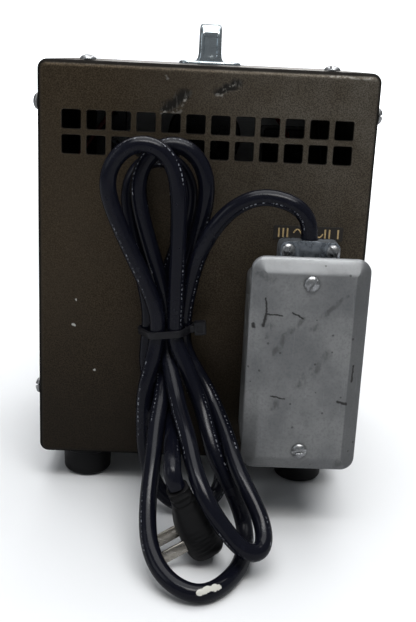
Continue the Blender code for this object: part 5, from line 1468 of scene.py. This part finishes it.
def build_dial(satin, ink):
    """The dial plate: a scale from 0 to 100 over the knob's travel."""
    low, high = span("dial_plate")
    radius = halves("dial_plate")[0]
    hole_r = 8.4
    divisions = 50
    profile = [(hole_r, low.y), (radius - 0.1, low.y), (radius, low.y + 0.1), (radius, high.y - 0.15)]
    profile += [(radius - 0.15, high.y), (hole_r, high.y)]
    disc = turned(profile, along_y(0, AXIS_Z), 96, closed=True)
    piece("dial_disc", disc, satin, replaces=("dial_plate",))
    marks = bmesh.new()
    for k in range(divisions + 1):
        degrees = DIAL_START + DIAL_SWEEP / divisions * k
        length, half_w = (4.2, 0.28) if k % 5 == 0 else (2.4, 0.16)
        tick(marks, 0.0, AXIS_Z, degrees, 28.2, 28.2 + length, half_w, high.y)
    for k in range(11):
        out = front_turn(DIAL_START + DIAL_SWEEP / 10 * k)[0] * 36.4
        text_marks(marks, str(10 * k), 4.4, out.x, AXIS_Z + out.z, high.y)
    piece("dial_marks", marks, ink, sharp=60)


def build_meter(black, cream, ink, glass, red):
    """The panel meter: case with a window, scale with an arc and figures, and the needle."""
    low, high = span("meter_case")
    x, z = centre_xz("meter_case")
    half_w, _, half_h = halves("meter_case")
    outside = [(0.4, PANEL_FACE), (0.0, PANEL_FACE + 0.4), (0.0, high.y - 1.8)]
    outside += arc((1.8, high.y - 1.8), 1.8, 180, 90, 5)[1:]
    housing = lofted(outside, half_w, half_h, 3.0, along_y(x, z), corner=8)
    case = piece("meter_housing", housing, black, replaces=("meter_case",))
    barrel = [(22.0, low.y), (23.0, low.y + 1.0), (23.0, PANEL_FACE + 1.0)]
    carve(case, turned(barrel, along_y(x, z), 64), union=True)
    window_low, window_high = span("meter_window")
    at_window = along_y(*centre_xz("meter_window"))
    pane_w, _, pane_h = halves("meter_window")
    opening = [(0.0, 78.5), (0.0, high.y - 0.35), (-0.5, high.y + 0.1), (-0.5, high.y + 1)]
    carve(case, lofted(opening, pane_w + 0.3, pane_h + 0.3, 2.0, at_window, corner=5))
    profile = eased(0.2, window_low.y, window_high.y)
    pane = lofted(profile, pane_w, pane_h, 1.8, at_window, corner=5)
    piece("meter_pane", pane, glass, replaces=("meter_window",))
    card_low, card_high = span("meter_scale")
    face = card_high.y
    half_w, _, half_h = halves("meter_scale")
    at_card = along_y(*centre_xz("meter_scale"))
    card = lofted(eased(0.15, card_low.y, face), half_w, half_h, 1.5, at_card)
    piece("meter_card", card, cream, replaces=("meter_scale",))
    pivot = JOINTS["needle_swing"]
    build_meter_marks(pivot, face, ink)
    out, side = front_turn(SCALE_START)
    y = pivot.y
    needle = [(-3.6, 0.6), (-1.2, 0.6), (1.2, 0.5), (18.0, 0.32), (26.0, 0.1)]
    needle = [(reach, width, -0.12, 0.12, y) for reach, width in needle]
    pointer = piece(
        "needle_pointer", bar(bmesh.new(), Vector((pivot.x, 0, pivot.z)), out, side, needle), red, "needle",
        ("meter_needle",),
    )
    hub = [(0, y - 1.8), (1.4, y - 1.8), (1.6, y - 1.6), (1.6, y + 0.6), (1.3, y + 0.9), (0, y + 0.9)]
    carve(pointer, turned(hub, along_y(pivot.x, pivot.z), 32), union=True)


def build_meter_marks(pivot, face, ink):
    """The meter's arc, its divisions and its figures from 0 to 140."""
    marks = bmesh.new()
    divisions = 28
    for k in range(divisions + 1):
        outer, half_w = (26.6, 0.2) if k % 4 == 0 else (25.4, 0.11)
        tick(marks, pivot.x, pivot.z, SCALE_START + SCALE_SWEEP * k / divisions, 24.0, outer, half_w, face)
    steps = 48
    step_half = 24.0 * math.radians(SCALE_SWEEP / steps) / 2 + 0.02
    for k in range(steps):
        degrees = SCALE_START + SCALE_SWEEP * (k + 0.5) / steps
        tick(marks, pivot.x, pivot.z, degrees, 23.75, 24.05, step_half, face)
    for k in range(8):
        out = front_turn(SCALE_START + SCALE_SWEEP * k / 7)[0] * 29.3
        text_marks(marks, str(20 * k), 2.7, pivot.x + out.x, pivot.z + out.z, face)
    piece("meter_marks", marks, ink, sharp=60)


def build_switch(metal, black):
    """A toggle switch: bushing, hex nut and bat lever, with its body behind the panel."""
    low, high = span("switch_body")
    pivot = JOINTS["switch_throw"]
    axis = along_y(pivot.x, pivot.z)
    behind = PANEL[0].y
    profile = [(0.8, low.y), (0, low.y + 0.8), (0, behind - 0.7), (0.4, behind - 0.3)]
    tail = lofted(profile, halves("switch_body")[0], 11.0, 1.5, axis, corner=4)
    piece("switch_block", tail, black, replaces=("switch_body",))
    neck = [(4.6, behind - 1.0), (5.9, behind - 1.0)]
    for k in range(9):
        y = behind + 1.0 * k + 2.4
        if y < high.y - 0.8:
            neck += [(5.9, y), (5.6, y + 0.5)]
    neck += [(5.9, high.y - 0.5), (5.4, high.y), (4.6, high.y)]
    piece("switch_bushing", turned(neck, axis, 40, closed=True), metal)
    corners = [math.radians(60 * k + 12) for k in range(6)]
    hexagon = [(8.2 * math.cos(t), 8.2 * math.sin(t)) for t in corners]
    rings = []
    for height, grow in ((0.35, 0.97), (0.6, 1.0), (2.2, 1.0), (2.5, 0.97)):
        rings.append([axis(a * grow, b * grow, FRONT_Y + height) for a, b in hexagon])
    nut = bmesh.new()
    skin(nut, rings)
    piece("switch_nut", nut, metal)
    tilt = math.radians(-14.0)
    along = Vector((0, math.cos(tilt), math.sin(tilt)))
    side = Vector((1, 0, 0))
    other = along.cross(side)
    profile = [(0, -2.2), (1.6, -2.0), (2.2, -0.8), (2.2, 1.0), (1.75, 4.0), (1.8, 8.0), (2.3, 13.0)]
    profile += [(2.75, 16.5), (2.9, 17.6), (2.7, 18.8), (2.1, 19.6), (1.1, 20.0), (0, 20.05)]
    lever = turned(profile, lambda a, b, depth: pivot + side * a + other * b + along * depth, 40)
    piece("toggle_bat", lever, metal, "toggle", ("switch_lever",))


def build_lamp(metal, red):
    """The pilot lamp: a turned bezel and a domed jewel."""
    at = middle("lamp_lens")
    axis = along_y(at.x, at.z)
    face = PANEL_FACE
    low = span("lamp_holder")[0].y
    profile = [(5.3, face + 2.7), (5.6, face + 2.9), (6.4, face + 2.9), (7.2, face + 2.5), (8.0, face + 0.3)]
    profile += [(8.0, face), (6.0, face), (6.0, low), (0, low), (0, low + 2.0), (5.3, low + 2.0)]
    piece("lamp_bezel", turned(profile, axis, 56), metal, replaces=("lamp_holder",))
    low = span("lamp_lens")[0].y
    dome = 78.2
    profile = [(0, low), (4.6, low), (5.0, low + 0.4), (5.0, dome)]
    for degrees in range(10, 90, 10):
        t = math.radians(degrees)
        profile.append((5.0 * math.cos(t), dome + 4.8 * math.sin(t)))
    profile += [(0, 83.0)]
    piece("lamp_jewel", turned(profile, axis), red, replaces=("lamp_lens",))


def build_fuse(black):
    """The fuse holder's collar, and its knurled cap with a driver slot."""
    at = middle("fuse_cap")
    x, z = at.x, at.z
    axis = along_y(x, z)
    face = PANEL_FACE
    low = span("fuse_holder")[0].y
    profile = [(4.9, face + 2.3), (5.4, face + 2.5), (8.2, face + 2.5), (8.7, face + 2.1), (9.0, face + 0.2)]
    profile += [(9.0, face), (6.0, face), (6.0, low + 0.5), (5.5, low), (4.9, low)]
    collar = turned(profile, axis, 56, closed=True)
    piece("fuse_collar", collar, black, replaces=("fuse_holder",))
    low = span("fuse_cap")[0].y
    profile = [(0, low), (4.2, low), (4.5, low + 0.3), (4.5, 78.1), (7.2, 78.1), (7.4, 78.4), (7.1, 84.9)]
    profile += [(6.9, 85.6), (6.4, 86.0), (5.8, 86.1), (0, 86.1)]
    cap = piece("fuse_knob", turned(profile, axis, 96), black, "fuse_carrier", ("fuse_cap",))
    cuts = bmesh.new()
    for c, s in round_steps(24):
        lathe(cuts, [(0.55, 79.0), (0.55, 87.0)], along_y(x + 7.55 * c, z + 7.55 * s), 10)
    block(cuts, (x - 5.0, 85.3, z - 0.7), (x + 5.0, 87.0, z + 0.7))
    carve(cap, cuts)


def build_outlet(black):
    """The output receptacle, with two blade slots over a round ground hole."""
    low, high = span("output_receptacle")
    x, z = centre_xz("output_receptacle")
    half_h = halves("output_receptacle")[2]
    face = PANEL_FACE
    top = high.y
    profile = [(0.3, face), (0.0, face + 0.3), (0.0, top - 1.0), (0.3, top - 0.3), (1.0, top)]
    profile += [(2.6, top), (3.2, top - 0.5), (4.0, top - 0.5)]
    front = lofted(profile, 17.0, half_h, 4.0, along_y(x, z), corner=8)
    body = piece("outlet_face", front, black, replaces=("output_receptacle",))
    profile = [(0.8, low.y), (0.0, low.y + 0.8), (0.0, face + 0.8)]
    carve(body, lofted(profile, 14.7, 11.2, 2.0, along_y(x, z), corner=5), union=True)
    cuts = bmesh.new()
    slot_z = 179.0
    ground_z = 169.0
    profile = [(0, face - 4), (0, top - 0.7), (-0.35, top - 0.3), (-0.35, top + 1)]
    for side, half_slot in ((-1, 4.1), (1, 3.5)):
        stack(cuts, profile, 1.1, half_slot, 0.3, along_y(x + side * 6.35, slot_z), corner=2)
    profile = [(2.6, face - 4), (2.6, top - 0.8), (2.95, top - 0.4), (2.95, top + 1)]
    lathe(cuts, profile, along_y(x, ground_z), 32)
    carve(body, cuts)


# ---------------------------------------------------------------- build

def dress_all(materials):
    """Hidden parts keep their CAD mesh and take a material."""
    for material, nodes in materials:
        for node in nodes:
            for slot in frame["nodes"][node].material_slots:
                slot.link = "OBJECT"
                slot.material = material


def build_all():
    paint = bronze_paint()
    grey = box_grey()
    steel = plated_steel()
    bright = chrome()
    rubber = black_rubber()
    black = black_phenolic()
    red = red_plastic()
    aluminium = panel_aluminium()
    label_dark = plain("label_black", (0.012, 0.0095, 0.007), (0.020, 0.016, 0.012), 0.6)
    zinc = plain("clamp_zinc", (0.16, 0.18, 0.205), (0.34, 0.37, 0.41), 0.30, 0.7, 260, 0.08)
    label_gold = plain("label_gold", (0.50, 0.36, 0.17), (0.62, 0.46, 0.23), 0.45, 0.3)
    white = plain("pointer_white", (0.62, 0.62, 0.59), (0.74, 0.74, 0.71), 0.5)
    ink = plain("dial_ink", (0.010, 0.010, 0.010), (0.022, 0.022, 0.022), 0.5)
    cream = plain("scale_cream", (0.66, 0.63, 0.53), (0.74, 0.71, 0.61), 0.6)
    build_rear_cover(paint)
    build_cabinet(paint)
    build_handle(bright)
    build_case_screws(steel)
    build_feet(rubber)
    build_label(label_dark, label_gold)
    build_terminal_box(grey)
    build_box_cover(grey)
    build_screw_pair(BOX_SCREWS, (-80, -34), BOX_HEAD, steel)
    build_clamp(zinc)
    build_screw_pair(CLAMP_SCREWS, (-27, 37), CLAMP_HEAD, steel)
    build_cord(black_cable())
    build_cord_tie(black_nylon())
    build_plug(rubber, nickel())
    build_front_panel(aluminium)
    build_knob(black, white)
    build_dial(aluminium, ink)
    build_meter(black, cream, ink, window_glass(), red)
    build_switch(bright, black)
    build_lamp(bright, red)
    build_fuse(black)
    build_outlet(black)
    dress_all((
        (enamelled_copper(), ("winding",)),
        (plain("core_iron", (0.07, 0.07, 0.075), (0.14, 0.14, 0.145), 0.5, 0.8), ("core",)),
        (black, ("mounting_base", "terminal_block")),
        (steel, ("shaft", "box_nipple", *HANDLE_SCREWS)),
        (aluminium, ("brush_arm",)),
        (plain("carbon", (0.020, 0.020, 0.021), (0.045, 0.045, 0.046), 0.62), ("carbon_brush",)),
        (plain("brass", (0.42, 0.28, 0.10), (0.60, 0.42, 0.17), 0.32, 1.0), ("shaft_bushing",)),
        (plain("lead_black", (0.010, 0.010, 0.011), (0.020, 0.020, 0.021), 0.4), ("lead_line",)),
        (plain("lead_white", (0.60, 0.60, 0.57), (0.70, 0.70, 0.67), 0.42), ("lead_neutral",)),
        (plain("lead_red", (0.36, 0.015, 0.012), (0.46, 0.03, 0.02), 0.4), ("lead_output",)),
    ))


# ---------------------------------------------------------------- studio

SKY = (0.92, 0.96, 1.0)
SKY_SEEN = 0.93
SKY_LIGHT = 0.17


def build_floor():
    """A pale sheet that curves up into a backdrop behind the object."""
    floor_look = Finish("floor", 0.75)
    ray = floor_look.node("ShaderNodeLightPath").outputs
    pale = floor_look.mix(floor_look.noise(2.0), (0.83, 0.84, 0.85), (0.86, 0.87, 0.88))
    mirrored = floor_look.times(ray["Is Glossy Ray"], 0.7)
    floor_look.set(Base_Color=floor_look.mix(mirrored, pale, (0.10, 0.10, 0.11)))
    glow = floor_look.band(floor_look.vector("LENGTH", floor_look.point), 0.7, 2.2, 0.0, 0.92)
    floor_look.set(Emission_Color=SKY, Emission_Strength=floor_look.times(glow, ray["Is Camera Ray"]))
    half = 6.0
    bend = 1.2
    back = 3.2
    line = [(-4.0, 0.0)] + [(back - bend + a, bend + b) for a, b in arc((0, 0), bend, 270, 360, 24)]
    line.append((back, 5.0))
    bm = bmesh.new()
    rows = [[bm.verts.new((side * half, y, z)) for side in (-1, 1)] for y, z in line]
    for near, far in zip(rows, rows[1:]):
        bm.faces.new((near[0], near[1], far[1], far[0]))
    mesh = bpy.data.meshes.new("floor")
    bm.to_mesh(mesh)
    bm.free()
    mesh.shade_smooth()
    mesh.materials.append(floor_look.material)
    add_object("floor", mesh)


def softbox(name, at, aim, width, height, watts, colour=(1, 1, 1)):
    data = bpy.data.lights.new(name, "AREA")
    data.shape = "RECTANGLE"
    data.size = width
    data.size_y = height
    data.energy = watts
    data.color = colour
    lamp = add_object(name, data)
    lamp.location = at
    lamp.rotation_euler = (Vector(aim) - Vector(at)).to_track_quat("-Z", "Y").to_euler()


def build_light():
    """A sky that the camera sees brighter than it lights, and the softboxes."""
    world = bpy.data.worlds.new("studio")
    world.use_nodes = True
    graph = Graph(world.node_tree)
    seen = graph.node("ShaderNodeLightPath").outputs["Is Camera Ray"]
    strength = graph.node("ShaderNodeMath", {0: seen, 1: SKY_SEEN, 2: SKY_LIGHT}, operation="MULTIPLY_ADD")
    background = world.node_tree.nodes["Background"].inputs
    graph.feed(background["Color"], SKY)
    graph.feed(background["Strength"], strength.outputs[0])
    bpy.context.scene.world = world
    aim = row(0, -40, 110)
    softbox("key", (0.15, -0.95, 1.5), aim, 0.9, 0.5, 8.0, (1.0, 0.98, 0.95))
    softbox("overhead", (0.1, -0.1, 1.75), (0.0, -0.1, 0.0), 2.2, 1.6, 27.0, (0.97, 0.98, 1.0))
    softbox("strip", (0.05, -0.62, 1.25), aim, 1.3, 0.07, 2.6, (0.95, 0.98, 1.0))
    softbox("left_fill", (-1.5, -0.7, 0.9), aim, 0.7, 0.9, 2.0, (0.90, 0.95, 1.0))
    softbox("front_fill", (0.3, 1.9, 0.9), aim, 1.2, 1.0, 8.0)
    softbox("backdrop", (0.0, 1.5, 2.6), (0.0, 3.2, 0.4), 4.0, 1.5, 55.0)


def build_camera():
    """The eye that sees the rear cover from a little above, almost square on."""
    yaw = math.radians(1.58)
    pitch = math.radians(15.99)
    roll = math.radians(2.70)
    ahead = Vector((math.sin(yaw) * math.cos(pitch), math.cos(yaw) * math.cos(pitch), -math.sin(pitch)))
    right = Vector((math.cos(yaw), -math.sin(yaw), 0.0))
    up = right.cross(ahead)
    level = right * math.cos(roll) + up * math.sin(roll)
    upright = up * math.cos(roll) - right * math.sin(roll)
    turn = Matrix((level, upright, -ahead)).transposed().to_4x4()
    data = bpy.data.cameras.new("eye")
    data.sensor_fit = "VERTICAL"
    data.sensor_height = 36.0
    data.lens = 51.35
    data.clip_start = 0.01
    data.clip_end = 50.0
    camera = add_object("eye", data)
    camera.matrix_world = Matrix.Translation(row(-8.1, -519.2, 228.9)) @ turn
    bpy.context.scene.camera = camera


build_all()
build_floor()
build_light()
build_camera()
bpy.context.scene.view_settings.view_transform = "Standard"
